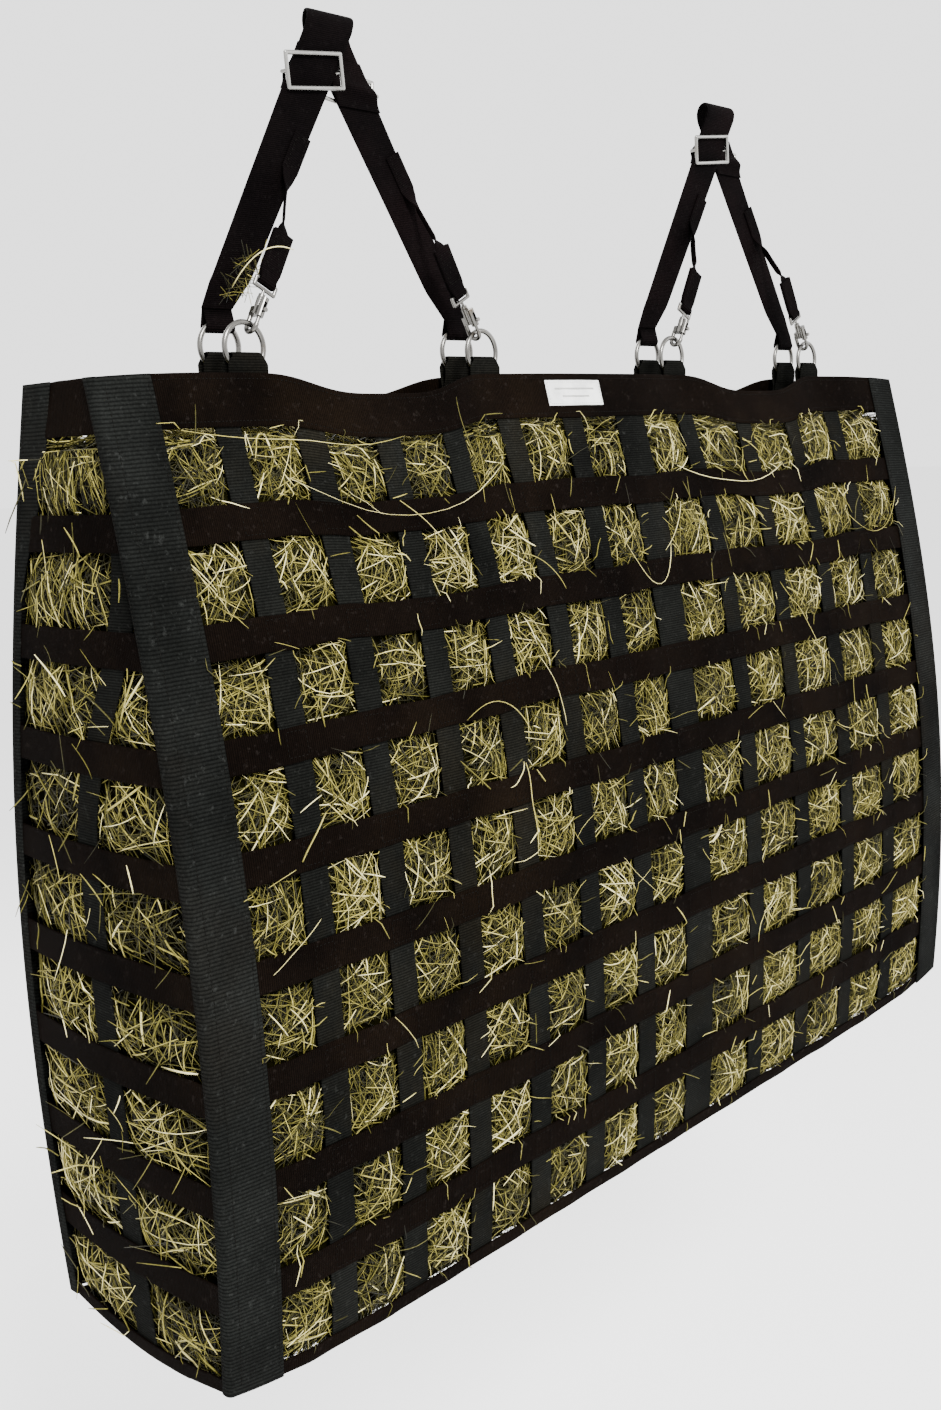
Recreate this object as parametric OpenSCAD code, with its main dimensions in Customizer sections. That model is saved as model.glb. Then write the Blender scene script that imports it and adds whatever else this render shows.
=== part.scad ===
// Hanging hay bag of sewn webbing, on two adjustable hanging straps.
// Millimetres, +Z up. The origin is on the axis of the rail that the bag hangs from,
// midway between the two straps. X runs along the rail and the bag, -Y is the front.

/* [Bag] */
// width over the corner trims
bag_w = 1290; // [1200:5:1350]
// depth of the bag at its rim
rim_depth = 96; // [92:1:104]
// how much each face swells out below the rim
swell = 77; // [60:1:90]
// width of the webbing that makes the net
strap_w = 31; // [26:1:34]
// clear height of one opening
open_h = 63.7; // [58:0.1:66]

/* [Hangers] */
// distance from the middle to each hanging strap
hanger_x = 320; // [310:1:335]
// radius of the rail that the straps go over
rail_r = 16; // [12:1:18]

/* [Hidden] */
hair = 0.01;
rows = 9;
cols_left = 7;
cols_right = 5;
tape = 2;
gap = 0.3;
mid_y = -12;
rim_z = -321.5;
band_h = 45;
foot_h = 14;
trim_w = 52;
seam_w = 52;
seam_x = 44;
half_w = bag_w / 2;
net_h = band_h + rows * open_h + (rows - 1) * strap_w + foot_h;

lean = 28;
leg_t = 2.2;
leg_half = 25 / cos(lean);
foot_half = 22;
leg_len = 262;
saddle_r = rail_r + leg_t / 2;
saddle_shift = saddle_r * PI / 2 * tan(lean);
leg_tip = asin(saddle_r / leg_len);
foot_out = saddle_shift + leg_len * tan(lean);

ring_r = 21.5;
wire_r = 2.5;
rear_ring_z = -290;
front_ring_z = -293;
front_ring_y = -36;
tab_in_r = 5;
tab_out_r = 7.2;

feet = [-hanger_x - foot_out, -hanger_x + foot_out, hanger_x - foot_out, hanger_x + foot_out];

// ---- the shape of the bag: h runs from 0 at the foot to 1 at the rim ----

function smooth(t) = let (c = max(0, min(1, t))) c * c * (3 - 2 * c);
function bump(t) = exp(-t * t);
function tab_bumps(x) = bump((x - feet[0]) / 60) + bump((x - feet[1]) / 60)
    + bump((x - feet[2]) / 60) + bump((x - feet[3]) / 60);
function rim_rise(x) = 6 - 20 * exp(-pow((abs(x) - hanger_x) / 100, 4)) - 6 * pow(abs(x) / half_w, 8);
function foot_lift(x) = 18 * pow(abs(x) / half_w, 8);
function net_z(x, h) = rim_z - net_h * (1 - h) + rim_rise(x) * pow(h, 6)
    + foot_lift(x) * pow(1 - h, 3);
function half_depth(h) = rim_depth / 2 + swell * (1 - pow(h, 1.84));
function belly(h) = sin(180 * h);
function flat_share(x) = 1 - pow(abs(x) / half_w, 4);
function drawn_in(x, h, base, tab) = (base * flat_share(x) + tab * tab_bumps(x))
    * smooth((h - 0.72) / 0.28);
function front_y(x, h) = mid_y - half_depth(h) - 22 * belly(h) + drawn_in(x, h, 8, 12.3);
function rear_y(x, h) = mid_y + half_depth(h) + 41 * belly(h) - drawn_in(x, h, 14, 18.6);
function face_y(side, x, h) = side < 0 ? front_y(x, h) : rear_y(x, h);

// ---- where the webbing lies ----

left_open = (seam_x - seam_w / 2 + half_w - trim_w - (cols_left - 1) * strap_w) / cols_left;
right_open = (half_w - trim_w - seam_x - seam_w / 2 - (cols_right - 1) * strap_w) / cols_right;
function left_strap(i) = let (a = trim_w - half_w + left_open + i * (left_open + strap_w))
    [a, a + strap_w];
function right_strap(i) = let (a = seam_x + seam_w / 2 + right_open + i * (right_open + strap_w))
    [a, a + strap_w];
seam = [seam_x - seam_w / 2, seam_x + seam_w / 2];
uprights = concat([for (i = [0 : cols_left - 2]) left_strap(i)],
    [for (i = [0 : cols_right - 2]) right_strap(i)]);
all_uprights = concat([for (i = [0 : cols_left - 2]) left_strap(i)], [seam],
    [for (i = [0 : cols_right - 2]) right_strap(i)]);
x_lines = concat([-half_w, trim_w - half_w], [for (u = all_uprights) for (k = [0, 1]) u[k]],
    [half_w - trim_w, half_w]);

function cross_strap(i) = let (a = foot_h + open_h + i * (open_h + strap_w))
    [a / net_h, (a + strap_w) / net_h];
foot_top = foot_h / net_h;
band_low = 1 - band_h / net_h;
crosses = [for (i = [0 : rows - 2]) cross_strap(i)];
h_lines = concat([0, foot_top], [for (c = crosses) for (k = [0, 1]) c[k]], [band_low]);

function within(list, a, b) = concat([a], [for (v = list) if (v > a + hair && v < b - hair) v], [b]);
function within_h(list, a, b) = concat([a],
    [for (v = list) if (v > a + 0.001 && v < b - 0.001) v], [b]);

// ---- a closed sheet over a grid of points, inner skin first ----

function grid_faces(n, m, k, flip) = [for (i = [0 : n - 2]) for (j = [0 : m - 2])
    let (a = k + i * m + j, b = a + m)
    for (f = flip ? [[a, b, b + 1], [a, b + 1, a + 1]] : [[a, b + 1, b], [a, a + 1, b + 1]]) f];
function rim_faces(n, m, flip) = let (k = n * m,
    loop = concat([for (i = [0 : n - 1]) i * m], [for (j = [1 : m - 1]) (n - 1) * m + j],
        [for (i = [1 : n - 1]) (n - 1 - i) * m + m - 1], [for (j = [1 : m - 2]) m - 1 - j]),
    c = len(loop))
    [for (q = [0 : c - 1]) let (a = loop[q], b = loop[(q + 1) % c])
        for (f = flip ? [[a, a + k, b + k], [a, b + k, b]] : [[a, b + k, a + k], [a, b, b + k]]) f];

module sheet(inner, outer, n, m, flip) {
    polyhedron(points = concat(inner, outer),
        faces = concat(grid_faces(n, m, 0, flip), grid_faces(n, m, n * m, !flip),
            rim_faces(n, m, flip)));
}

// a piece of webbing on the front (side -1) or rear (side 1) face
module on_face(side, xs, hs, low, high) {
    inner = [for (x = xs) for (h = hs) [x, face_y(side, x, h) + side * low, net_z(x, h)]];
    outer = [for (x = xs) for (h = hs) [x, face_y(side, x, h) + side * high, net_z(x, h)]];
    sheet(inner, outer, len(xs), len(hs), side > 0);
}

function floor_y(x, v) = front_y(x, 0) * (1 - v) + rear_y(x, 0) * v;

// a piece of webbing under the bag: v runs from 0 at the front to 1 at the rear
module under_bag(xs, vs, low, high) {
    inner = [for (x = xs) for (v = vs) [x, floor_y(x, v), net_z(x, 0) - low]];
    outer = [for (x = xs) for (v = vs) [x, floor_y(x, v), net_z(x, 0) - high]];
    sheet(inner, outer, len(xs), len(vs), false);
}

// ---- net ----

layer_1 = [0, tape];
layer_2 = [tape + gap, 2 * tape + gap];
layer_3 = [2 * tape + 2 * gap, 3 * tape + 2 * gap];

module cross_straps(side) {
    for (c = crosses) on_face(side, x_lines, c, layer_2[0], layer_2[1]);
    on_face(side, x_lines, [0, foot_top], layer_2[0], layer_2[1]);
}

module upright(side, u) {
    on_face(side, u, concat(h_lines, [0.985]), layer_1[0], layer_1[1]);
}

module top_band(side) {
    on_face(side, x_lines, [band_low, 1], layer_2[0], layer_2[1]);
}

module corner_trims(side) {
    hs = concat(h_lines, [1]);
    on_face(side, [-half_w, trim_w - half_w], hs, layer_3[0], layer_3[1]);
    on_face(side, [half_w - trim_w, half_w], hs, layer_3[0], layer_3[1]);
}

module front_cross_straps() color([0.10, 0.08, 0.08]) cross_straps(-1);
module rear_cross_straps() color([0.10, 0.08, 0.08]) cross_straps(1);
module front_upright_straps() color([0.13, 0.15, 0.16]) for (u = uprights) upright(-1, u);
module rear_upright_straps() color([0.13, 0.15, 0.16]) for (u = uprights) upright(1, u);
module front_seam_strap() color([0.15, 0.17, 0.18]) upright(-1, seam);
module rear_seam_strap() color([0.15, 0.17, 0.18]) upright(1, seam);
module front_top_band() color([0.09, 0.07, 0.07]) top_band(-1);
module rear_top_band() color([0.09, 0.07, 0.07]) top_band(1);
module front_corner_trims() color([0.17, 0.20, 0.21]) corner_trims(-1);
module rear_corner_trims() color([0.17, 0.20, 0.21]) corner_trims(1);

// ---- gussets: flat webbing in the end planes ----

module on_ends(low, high) {
    for (s = [-1, 1])
        translate([s > 0 ? half_w + low : -half_w - high, 0, 0])
            rotate([90, 0, 90]) linear_extrude(high - low) children();
}

function end_point(h, u) = [front_y(half_w, h) * (1 - u) + rear_y(half_w, h) * u, net_z(half_w, h)];
function end_mm(h, mm) = let (d = rear_y(half_w, h) - front_y(half_w, h)) mm / d;

module end_row(a, b) {
    polygon([end_point(a, end_mm(a, 2)), end_point(a, 1 - end_mm(a, 2)),
        end_point(b, 1 - end_mm(b, 2)), end_point(b, end_mm(b, 2))]);
}

module end_column(hs, f, g) {
    n = len(hs);
    polygon(concat([for (h = hs) end_point(h, f(h))],
        [for (i = [1 : n]) end_point(hs[n - i], g(hs[n - i]))]));
}

function centre_line(h) = 0.5 * (1 - smooth((h - 0.55) / 0.35));
centre_hs = [for (h = h_lines) if (h < crosses[rows - 2][1]) h];
edge_hs = concat(h_lines, [1]);
function rear_strip_w(h) = 14 + 30 * smooth((h - 0.78) / 0.15);

module gusset_cross_straps() color([0.10, 0.08, 0.08]) {
    for (c = crosses) on_ends(layer_2[0], layer_2[1]) end_row(c[0], c[1]);
    on_ends(layer_2[0], layer_2[1]) end_row(0, foot_top);
}
module gusset_centre_straps() color([0.13, 0.15, 0.16]) on_ends(layer_1[0], layer_1[1])
    end_column(centre_hs,
        function (h) max(end_mm(h, 10), centre_line(h) - end_mm(h, strap_w / 2)),
        function (h) max(end_mm(h, 14), centre_line(h) + end_mm(h, strap_w / 2)));
module gusset_edge_strips() color([0.17, 0.20, 0.21]) {
    on_ends(layer_3[0], layer_3[1]) end_column(edge_hs,
        function (h) end_mm(h, 1), function (h) end_mm(h, 9));
    on_ends(layer_3[0], layer_3[1]) end_column(edge_hs,
        function (h) 1 - end_mm(h, rear_strip_w(h)), function (h) 1 - end_mm(h, 1));
}
module gusset_top_bands() color([0.09, 0.07, 0.07]) on_ends(layer_2[0], layer_2[1])
    end_row(band_low, 1);

// ---- floor of the bag ----

floor_open = (1 - 2 * strap_w / 250) / 3;
floor_lines = [0, floor_open, floor_open + strap_w / 250, 1 - floor_open - strap_w / 250,
    1 - floor_open, 1];

module bottom_cross_straps() color([0.13, 0.15, 0.16]) {
    for (u = all_uprights) under_bag(u, floor_lines, gap + layer_1[0], gap + layer_1[1]);
    for (u = [[-half_w, 30 - half_w], [half_w - 30, half_w]])
        under_bag(u, floor_lines, gap + layer_1[0], gap + layer_1[1]);
}
module bottom_long_straps() color([0.10, 0.08, 0.08]) {
    xs = concat([-half_w, 30 - half_w], [for (u = all_uprights) for (k = [0, 1]) u[k]],
        [half_w - 30, half_w]);
    under_bag(xs, [floor_lines[1], floor_lines[2]], gap + layer_2[0], gap + layer_2[1]);
    under_bag(xs, [floor_lines[3], floor_lines[4]], gap + layer_2[0], gap + layer_2[1]);
}

// ---- hay: one closed solid, clear of the webbing all round ----

hay_gap = 6;
hay_top = 1 - 62 / net_h;
hay_hs = within_h(h_lines, 8 / net_h, hay_top);
hay_xs = within(x_lines, hay_gap - half_w, half_w - hay_gap);

module hay_fill() color([0.55, 0.52, 0.28]) {
    m = len(hay_hs);
    n = len(hay_xs);
    front = [for (x = hay_xs) for (h = hay_hs) [x, front_y(x, h) + hay_gap, net_z(x, h)]];
    rear = [for (x = hay_xs) for (h = hay_hs) [x, rear_y(x, h) - hay_gap, net_z(x, h)]];
    sheet(front, rear, n, m, true);
}

// ---- label ----

module plain_label() color([0.90, 0.90, 0.88])
    on_face(-1, within(x_lines, -92, -4), [1 - 33 / net_h, 1 - 7 / net_h],
        layer_2[1] + 0.7, layer_2[1] + 1.5);

// ---- webbing loops round the rings, drawn in Y and Z with the fold upwards ----

module loop_shape(bend) {
    difference() {
        union() {
            translate([0, 5]) circle(tab_out_r);
            polygon([[-tab_out_r, 5], [-2.2, -16], [2.2, -16], [tab_out_r, 5]]);
            polygon([[-2.2, -15], [-2.2 + bend, -36], [2.2 + bend, -36], [2.2, -15]]);
        }
        translate([0, 5]) circle(tab_in_r);
        polygon([[-tab_in_r, 5], [0, -14], [tab_in_r, 5]]);
    }
}

module tab(x, y, z, side) {
    intersection() {
        translate([x - 25, y, z]) rotate([90, 0, 90]) linear_extrude(50) loop_shape(side * 6);
        translate([x, y + 25, z]) rotate([90, 0, 0]) linear_extrude(50)
            polygon([[-21, -40], [21, -40], [21, -6], [14, 2], [14, 14], [-14, 14], [-14, 2],
                [-21, -6]]);
    }
}

module front_tabs() color([0.12, 0.12, 0.12])
    for (x = feet) tab(x, front_ring_y, front_ring_z - ring_r, -1);
module rear_tabs() color([0.12, 0.12, 0.12])
    for (x = feet) tab(x, 0, rear_ring_z - ring_r, 1);

// ---- rings ----

module ring(x, y, z) {
    translate([x, y, z]) rotate([90, 0, 0]) rotate_extrude() translate([ring_r, 0]) circle(wire_r);
}

module rear_rings() color([0.75, 0.75, 0.76]) for (x = feet) ring(x, 0, rear_ring_z);
module front_rings() color([0.75, 0.75, 0.76]) for (x = feet) ring(x, front_ring_y, front_ring_z);

// ---- hanging straps: each goes over the rail and turns from front to rear as it does ----

function side_of(i) = i % 2 == 0 ? -1 : 1;
function hanger_of(i) = i < 2 ? -hanger_x : hanger_x;
function leg_x(z) = saddle_shift - z * tan(lean);

// the plane of leg i: local Y = 0 is the middle of its webbing
module on_leg(i) {
    s = side_of(i);
    translate([hanger_of(i), 0, 0]) rotate([-s * leg_tip, 0, 0])
        translate([0, s * saddle_r, 0]) children();
}

module leg(i) {
    s = side_of(i);
    on_leg(i) translate([0, leg_t / 2, 0]) rotate([90, 0, 0]) linear_extrude(leg_t)
        polygon([[s * (leg_x(1.3) - leg_half), 1.3], [s * (leg_x(1.3) + leg_half), 1.3],
            [s * (leg_x(-228) + foot_half), -228], [s * (foot_out + 17), -256],
            [s * (foot_out - 17), -256], [s * (leg_x(-236) - foot_half), -236]]);
}

module foot_loop(i) {
    z = rear_ring_z + ring_r;
    intersection() {
        translate([feet[i] - 25, 0, z]) mirror([0, 0, 1]) rotate([90, 0, 90])
            linear_extrude(50) loop_shape(0);
        translate([feet[i], 25, z]) rotate([90, 0, 0]) linear_extrude(50)
            polygon([[-17, 40], [17, 40], [17, 6], [14, -2], [14, -14], [-14, -14],
                [-14, -2], [-17, 6]]);
    }
}

module saddle(x) {
    steps = [for (a = [-90 : 15 : 90]) a];
    shift = saddle_r * PI / 180 * tan(lean);
    r = rail_r + leg_t + 0.2;
    intersection() {
        translate([x - 60, 0, 0]) rotate([0, 90, 0]) difference() {
            cylinder(r = rail_r + leg_t, h = 120, $fn = 96);
            translate([0, 0, -1]) cylinder(r = rail_r, h = 122, $fn = 96);
        }
        linear_extrude(40) polygon(concat(
            [for (a = steps) [x + shift * a - leg_half, r * sin(a)]],
            [for (a = steps) [x - shift * a + leg_half, -r * sin(a)]]));
    }
}

module hanger_straps() color([0.07, 0.06, 0.06])
    for (h = [0, 1]) {
        union() {
            saddle(h == 0 ? -hanger_x : hanger_x);
            leg(2 * h);
            leg(2 * h + 1);
            foot_loop(2 * h);
            foot_loop(2 * h + 1);
        }
    }

// ---- bolt snaps: local +Z runs up the snap, local Y = -6.5 holds the bolt ----

hook_r = 6.5;
hook_wire = 2.25;
eye_half = 11.5;
eye_low = 35.2;
eye_high = 42.5;
eye_wire = 1.75;

module at_snap(i) {
    s = side_of(i);
    translate([feet[i] - s * ring_r * sin(lean), front_ring_y,
        front_ring_z + ring_r * cos(lean)]) rotate([0, -s * lean, 0]) children();
}

module snap_body(i) {
    at_snap(i) difference() {
        union() {
            intersection() {
                rotate([0, 90, 0]) rotate_extrude() translate([hook_r, 0]) circle(hook_wire);
                translate([-5, -12, -12]) cube([10, 24, 12]);
            }
            translate([0, hook_r, -hair]) cylinder(r = hook_wire, h = 12, $fn = 48);
            translate([0, -hook_r, -hair]) cylinder(r = hook_wire, h = 1.2, $fn = 48);
            translate([0, -hook_r, 8]) cylinder(r = 3.8, h = 18, $fn = 48);
            translate([-2.9, -hook_r, 10]) cube([5.8, 2 * hook_r, 8]);
            translate([0, 0, 10]) cylinder(r = 3.6, h = 17, $fn = 48);
        }
        translate([0, -hook_r, 7]) cylinder(r = 2.1, h = 17, $fn = 48);
        translate([-1.4, -hook_r - 6, 12.4]) cube([2.8, 6, 9.4]);
        translate([0, 0, 19]) cylinder(r = 1.9, h = 9, $fn = 48);
    }
}

module snap_bolt(i) {
    at_snap(i) {
        translate([0, -hook_r, 1.6]) cylinder(r = 1.7, h = 14.4, $fn = 48);
        translate([0, -hook_r, 14]) rotate([90, 0, 0]) cylinder(r = 1.1, h = 5.6, $fn = 32);
        translate([0, -hook_r - 5.2, 14]) rotate([90, 0, 0]) cylinder(r = 2.1, h = 2, $fn = 32);
    }
}

module snap_eye(i) {
    at_snap(i) {
        translate([0, 0, 20]) cylinder(r = 1.4, h = eye_low - 20, $fn = 48);
        translate([0, 0, 27.4]) cylinder(r = 3.2, h = 2.8, $fn = 48);
        for (z = [eye_low, eye_high])
            translate([-eye_half, 0, z]) rotate([0, 90, 0])
                cylinder(r = eye_wire, h = 2 * eye_half, $fn = 48);
        for (x = [-eye_half, eye_half]) {
            translate([x, 0, eye_low]) cylinder(r = eye_wire, h = eye_high - eye_low, $fn = 48);
            translate([x, 0, eye_low]) sphere(eye_wire);
            translate([x, 0, eye_high]) sphere(eye_wire);
        }
    }
}

module snap_eyes() color([0.72, 0.72, 0.73]) for (i = [0 : 3]) snap_eye(i);

// ---- strips that carry the snaps: sewn flat on the leg, then down to a folded keeper ----

keeper_top = 92;

module keeper(i) {
    at_snap(i) {
        translate([-9, 0, eye_high]) rotate([90, 0, 90]) linear_extrude(18) difference() {
            union() {
                circle(4.3);
                translate([-2.6, 0]) square([5.2, 8]);
            }
            circle(2.3);
        }
        translate([-11, -2.6, eye_high + 6]) cube([22, 5.2, keeper_top - eye_high - 6]);
    }
}

function tip_y(i, y, z) = let (a = -side_of(i) * leg_tip) y * cos(a) - z * sin(a);
function tip_z(i, y, z) = let (a = -side_of(i) * leg_tip) y * sin(a) + z * cos(a);
sewn_top = -98;
sewn_low = -130;
sewn_x = 16;
function sewn_y(i) = side_of(i) * saddle_r - leg_t / 2 - gap - 1.1;

module sewn_end(i) {
    s = side_of(i);
    on_leg(i) translate([0, -leg_t / 2 - gap, 0]) rotate([90, 0, 0]) linear_extrude(2.2)
        translate([sewn_x, 0]) polygon([[s * leg_x(sewn_top) - 11, sewn_top],
            [s * leg_x(sewn_top) + 11, sewn_top], [s * leg_x(sewn_low) + 11, sewn_low],
            [s * leg_x(sewn_low) - 11, sewn_low]]);
}

function strip_from(i) = let (z = sewn_low + 4, y = sewn_y(i))
    [hanger_of(i) + side_of(i) * leg_x(z) + sewn_x, tip_y(i, y, z), tip_z(i, y, z)];
function strip_to(i) = [feet[i] - side_of(i) * (ring_r + keeper_top - 3) * sin(lean), front_ring_y,
    front_ring_z + (ring_r + keeper_top - 3) * cos(lean)];

module strip_between(i) {
    p = strip_from(i);
    q = strip_to(i);
    d = q - p;
    len = norm(d);
    translate(p) rotate([0, acos(d[2] / len), atan2(d[1], d[0])])
        rotate([0, 0, 90 + atan2(d[1], d[0])]) translate([-0.9, -7, 0]) cube([1.8, 14, len]);
}

module snap_strips() color([0.08, 0.07, 0.07])
    for (i = [0 : 3]) union() {
        keeper(i);
        sewn_end(i);
        strip_between(i);
    }

// ---- three-bar slides: outer bars on the outside of the leg, middle bar behind it ----

slide_half_w = 33;
slide_half_h = 15;
slide_wire = 2;
slide_z = -40;
slide_turn = 7;
slide_off = leg_t / 2 + 0.5 + slide_wire;

module slide_bar(y, z) {
    translate([-slide_half_w, y, z]) rotate([0, 90, 0])
        cylinder(r = slide_wire, h = 2 * slide_half_w, $fn = 48);
}

module slide(i) {
    s = side_of(i);
    on_leg(i) translate([s * leg_x(slide_z), 0, slide_z]) rotate([0, s * slide_turn, 0]) {
        slide_bar(s * slide_off, slide_half_h);
        slide_bar(s * slide_off, -slide_half_h);
        slide_bar(-s * slide_off, 0);
        for (x = [-slide_half_w, slide_half_w]) {
            translate([x, s * slide_off, -slide_half_h])
                cylinder(r = slide_wire, h = 2 * slide_half_h, $fn = 48);
            translate([x, slide_off, 0]) rotate([90, 0, 0])
                cylinder(r = slide_wire, h = 2 * slide_off, $fn = 48);
            translate([x, -s * slide_off, 0]) sphere(slide_wire);
            for (z = [-slide_half_h, slide_half_h])
                translate([x, s * slide_off, z]) sphere(slide_wire);
        }
    }
}

module slide_1() color([0.78, 0.78, 0.79]) slide(0);
module slide_2() color([0.78, 0.78, 0.79]) slide(1);
module slide_3() color([0.78, 0.78, 0.79]) slide(2);
module slide_4() color([0.78, 0.78, 0.79]) slide(3);
module snap_body_1() color([0.72, 0.72, 0.73]) snap_body(0);
module snap_body_2() color([0.72, 0.72, 0.73]) snap_body(1);
module snap_body_3() color([0.72, 0.72, 0.73]) snap_body(2);
module snap_body_4() color([0.72, 0.72, 0.73]) snap_body(3);
module snap_bolt_1() color([0.80, 0.80, 0.81]) snap_bolt(0);
module snap_bolt_2() color([0.80, 0.80, 0.81]) snap_bolt(1);
module snap_bolt_3() color([0.80, 0.80, 0.81]) snap_bolt(2);
module snap_bolt_4() color([0.80, 0.80, 0.81]) snap_bolt(3);

front_cross_straps();
front_upright_straps();
front_seam_strap();
rear_cross_straps();
rear_upright_straps();
rear_seam_strap();
front_top_band();
rear_top_band();
gusset_top_bands();
front_corner_trims();
rear_corner_trims();
gusset_cross_straps();
gusset_centre_straps();
gusset_edge_strips();
bottom_cross_straps();
bottom_long_straps();
front_tabs();
rear_tabs();
plain_label();
hay_fill();
hanger_straps();
snap_strips();
snap_eyes();
rear_rings();
front_rings();
slide_1();
slide_2();
slide_3();
slide_4();
snap_body_1();
snap_body_2();
snap_body_3();
snap_body_4();
snap_bolt_1();
snap_bolt_2();
snap_bolt_3();
snap_bolt_4();
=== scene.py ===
import math
import bpy
import numpy as np
from mathutils import Matrix, Vector


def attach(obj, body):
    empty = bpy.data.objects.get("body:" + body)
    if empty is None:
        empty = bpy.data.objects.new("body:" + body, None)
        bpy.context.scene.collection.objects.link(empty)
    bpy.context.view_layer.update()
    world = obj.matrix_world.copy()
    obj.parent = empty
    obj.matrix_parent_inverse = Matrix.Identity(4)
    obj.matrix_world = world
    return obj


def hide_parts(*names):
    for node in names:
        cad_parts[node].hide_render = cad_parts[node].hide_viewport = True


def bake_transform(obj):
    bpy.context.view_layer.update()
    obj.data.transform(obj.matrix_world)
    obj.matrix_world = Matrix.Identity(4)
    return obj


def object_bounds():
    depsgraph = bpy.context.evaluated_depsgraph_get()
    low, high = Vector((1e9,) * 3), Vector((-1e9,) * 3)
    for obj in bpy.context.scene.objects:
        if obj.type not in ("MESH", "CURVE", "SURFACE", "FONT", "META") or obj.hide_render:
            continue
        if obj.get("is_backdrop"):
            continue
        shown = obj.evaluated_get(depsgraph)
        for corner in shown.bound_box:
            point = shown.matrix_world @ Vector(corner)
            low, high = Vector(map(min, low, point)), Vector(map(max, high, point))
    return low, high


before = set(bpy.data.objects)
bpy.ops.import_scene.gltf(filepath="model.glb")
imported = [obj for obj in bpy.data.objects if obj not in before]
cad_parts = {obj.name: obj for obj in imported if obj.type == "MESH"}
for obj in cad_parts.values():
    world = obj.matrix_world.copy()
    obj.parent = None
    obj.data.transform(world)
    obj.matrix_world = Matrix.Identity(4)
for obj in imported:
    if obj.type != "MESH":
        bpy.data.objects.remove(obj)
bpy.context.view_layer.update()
rng = np.random.default_rng(7)

# ---- camera

YAW = math.radians(45.765)
PITCH = math.radians(10.089)
ROLL = math.radians(-2.650)
LENS = 36.79659574
CAMERA_AT = (-1.28708, -1.08766, -0.39073)
ahead = Vector((math.sin(YAW) * math.cos(PITCH), math.cos(YAW) * math.cos(PITCH), -math.sin(PITCH)))
level = Vector((math.cos(YAW), -math.sin(YAW), 0.0))
over = level.cross(ahead)
right = math.cos(ROLL) * level + math.sin(ROLL) * over
up = -math.sin(ROLL) * level + math.cos(ROLL) * over
cam_data = bpy.data.cameras.new("camera")
cam_data.sensor_fit = "VERTICAL"
cam_data.sensor_height = 36.0
cam_data.lens = LENS
cam_data.clip_start = 0.05
cam_data.clip_end = 200.0
cam = bpy.data.objects.new("camera", cam_data)
turn = Matrix((right, up, -ahead)).transposed()
cam.matrix_world = Matrix.Translation(CAMERA_AT) @ turn.to_4x4()
bpy.context.scene.collection.objects.link(cam)
bpy.context.scene.camera = cam

# ---- the shape of the bag, in mm

HALF_W = 645.0  # half the width of the bag
NET_H = 880.3  # from the rim to the foot
BAND_H = 45.0  # top band
FOOT_H = 14.0  # hem at the foot
OPEN_H = 63.7  # height of an opening
STRAP = 31.0  # width of a net strap
TRIM_W = 52.0  # width of a corner trim
DEEP = 250.0  # depth at the foot
WEB = 2.0  # thickness of webbing
MID_Y = -12.0
RIM_Z = -321.5
HANG_X = 320.0  # middle of each hanging strap
LEAN = math.radians(28)
SADDLE_R = 17.1  # the fold over the rail
LEG_LEN = 262.0
LEG_HALF = 25.0 / math.cos(LEAN)
FOOT_HALF = 22.0
SHIFT = SADDLE_R * math.pi / 2 * math.tan(LEAN)
TIP = math.asin(SADDLE_R / LEG_LEN)
FOOT_OUT = SHIFT + LEG_LEN * math.tan(LEAN)
FEET = [-HANG_X - FOOT_OUT, -HANG_X + FOOT_OUT, HANG_X - FOOT_OUT, HANG_X + FOOT_OUT]
RING_R = 21.5
REAR_RING_Z = -290.0
FRONT_RING_Z = -293.0
FRONT_RING_Y = -36.0
FACES = ((-1, "front"), (1, "rear"))

# places across the face are in mm, places up it are a share of its height
BAND_LOW = 1 - BAND_H / NET_H
FOOT_TOP = FOOT_H / NET_H
CROSS_LOW = [FOOT_H + OPEN_H + i * (OPEN_H + STRAP) for i in range(8)]
CROSSES = [(low / NET_H, (low + STRAP) / NET_H) for low in CROSS_LOW]
SEAM = (18.0, 70.0)
L_OPEN = (SEAM[0] + HALF_W - TRIM_W - 6 * STRAP) / 7
R_OPEN = (HALF_W - TRIM_W - SEAM[1] - 4 * STRAP) / 5


def strap_places(start, gap, count):
    """Both edges of each strap, with a gap before each."""
    pitch = gap + STRAP
    return [(start + gap + i * pitch, start + (i + 1) * pitch) for i in range(count)]


def openings(first, straps, last):
    """The gaps before, between and after straps."""
    edges = [first] + [v for strap_ in straps for v in strap_] + [last]
    return list(zip(edges[::2], edges[1::2]))


LEFT = strap_places(TRIM_W - HALF_W, L_OPEN, 6)
RIGHT = strap_places(SEAM[1], R_OPEN, 4)
UPRIGHTS = LEFT + RIGHT
ALL_UP = LEFT + [SEAM] + RIGHT
X_OPEN = openings(TRIM_W - HALF_W, ALL_UP, HALF_W - TRIM_W)
H_OPEN = openings(FOOT_TOP, CROSSES, BAND_LOW)
H_OPEN_MM = [(a * NET_H, b * NET_H) for a, b in H_OPEN]


def smooth(t):
    c = np.clip(t, 0, 1)
    return c * c * (3 - 2 * c)


def bump(t):
    return np.exp(-np.square(t))


def tab_bumps(x):
    return sum(bump((x - f) / 60) for f in FEET)


def net_z(x, h):
    a = np.abs(x)
    rise = 6 - 20 * np.exp(-((a - HANG_X) / 100) ** 4) - 6 * (a / HALF_W) ** 8
    lift = 18 * (a / HALF_W) ** 8
    return RIM_Z - NET_H * (1 - h) + rise * np.maximum(h, 0) ** 6 + lift * np.clip(1 - h, 0, 1) ** 3


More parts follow.
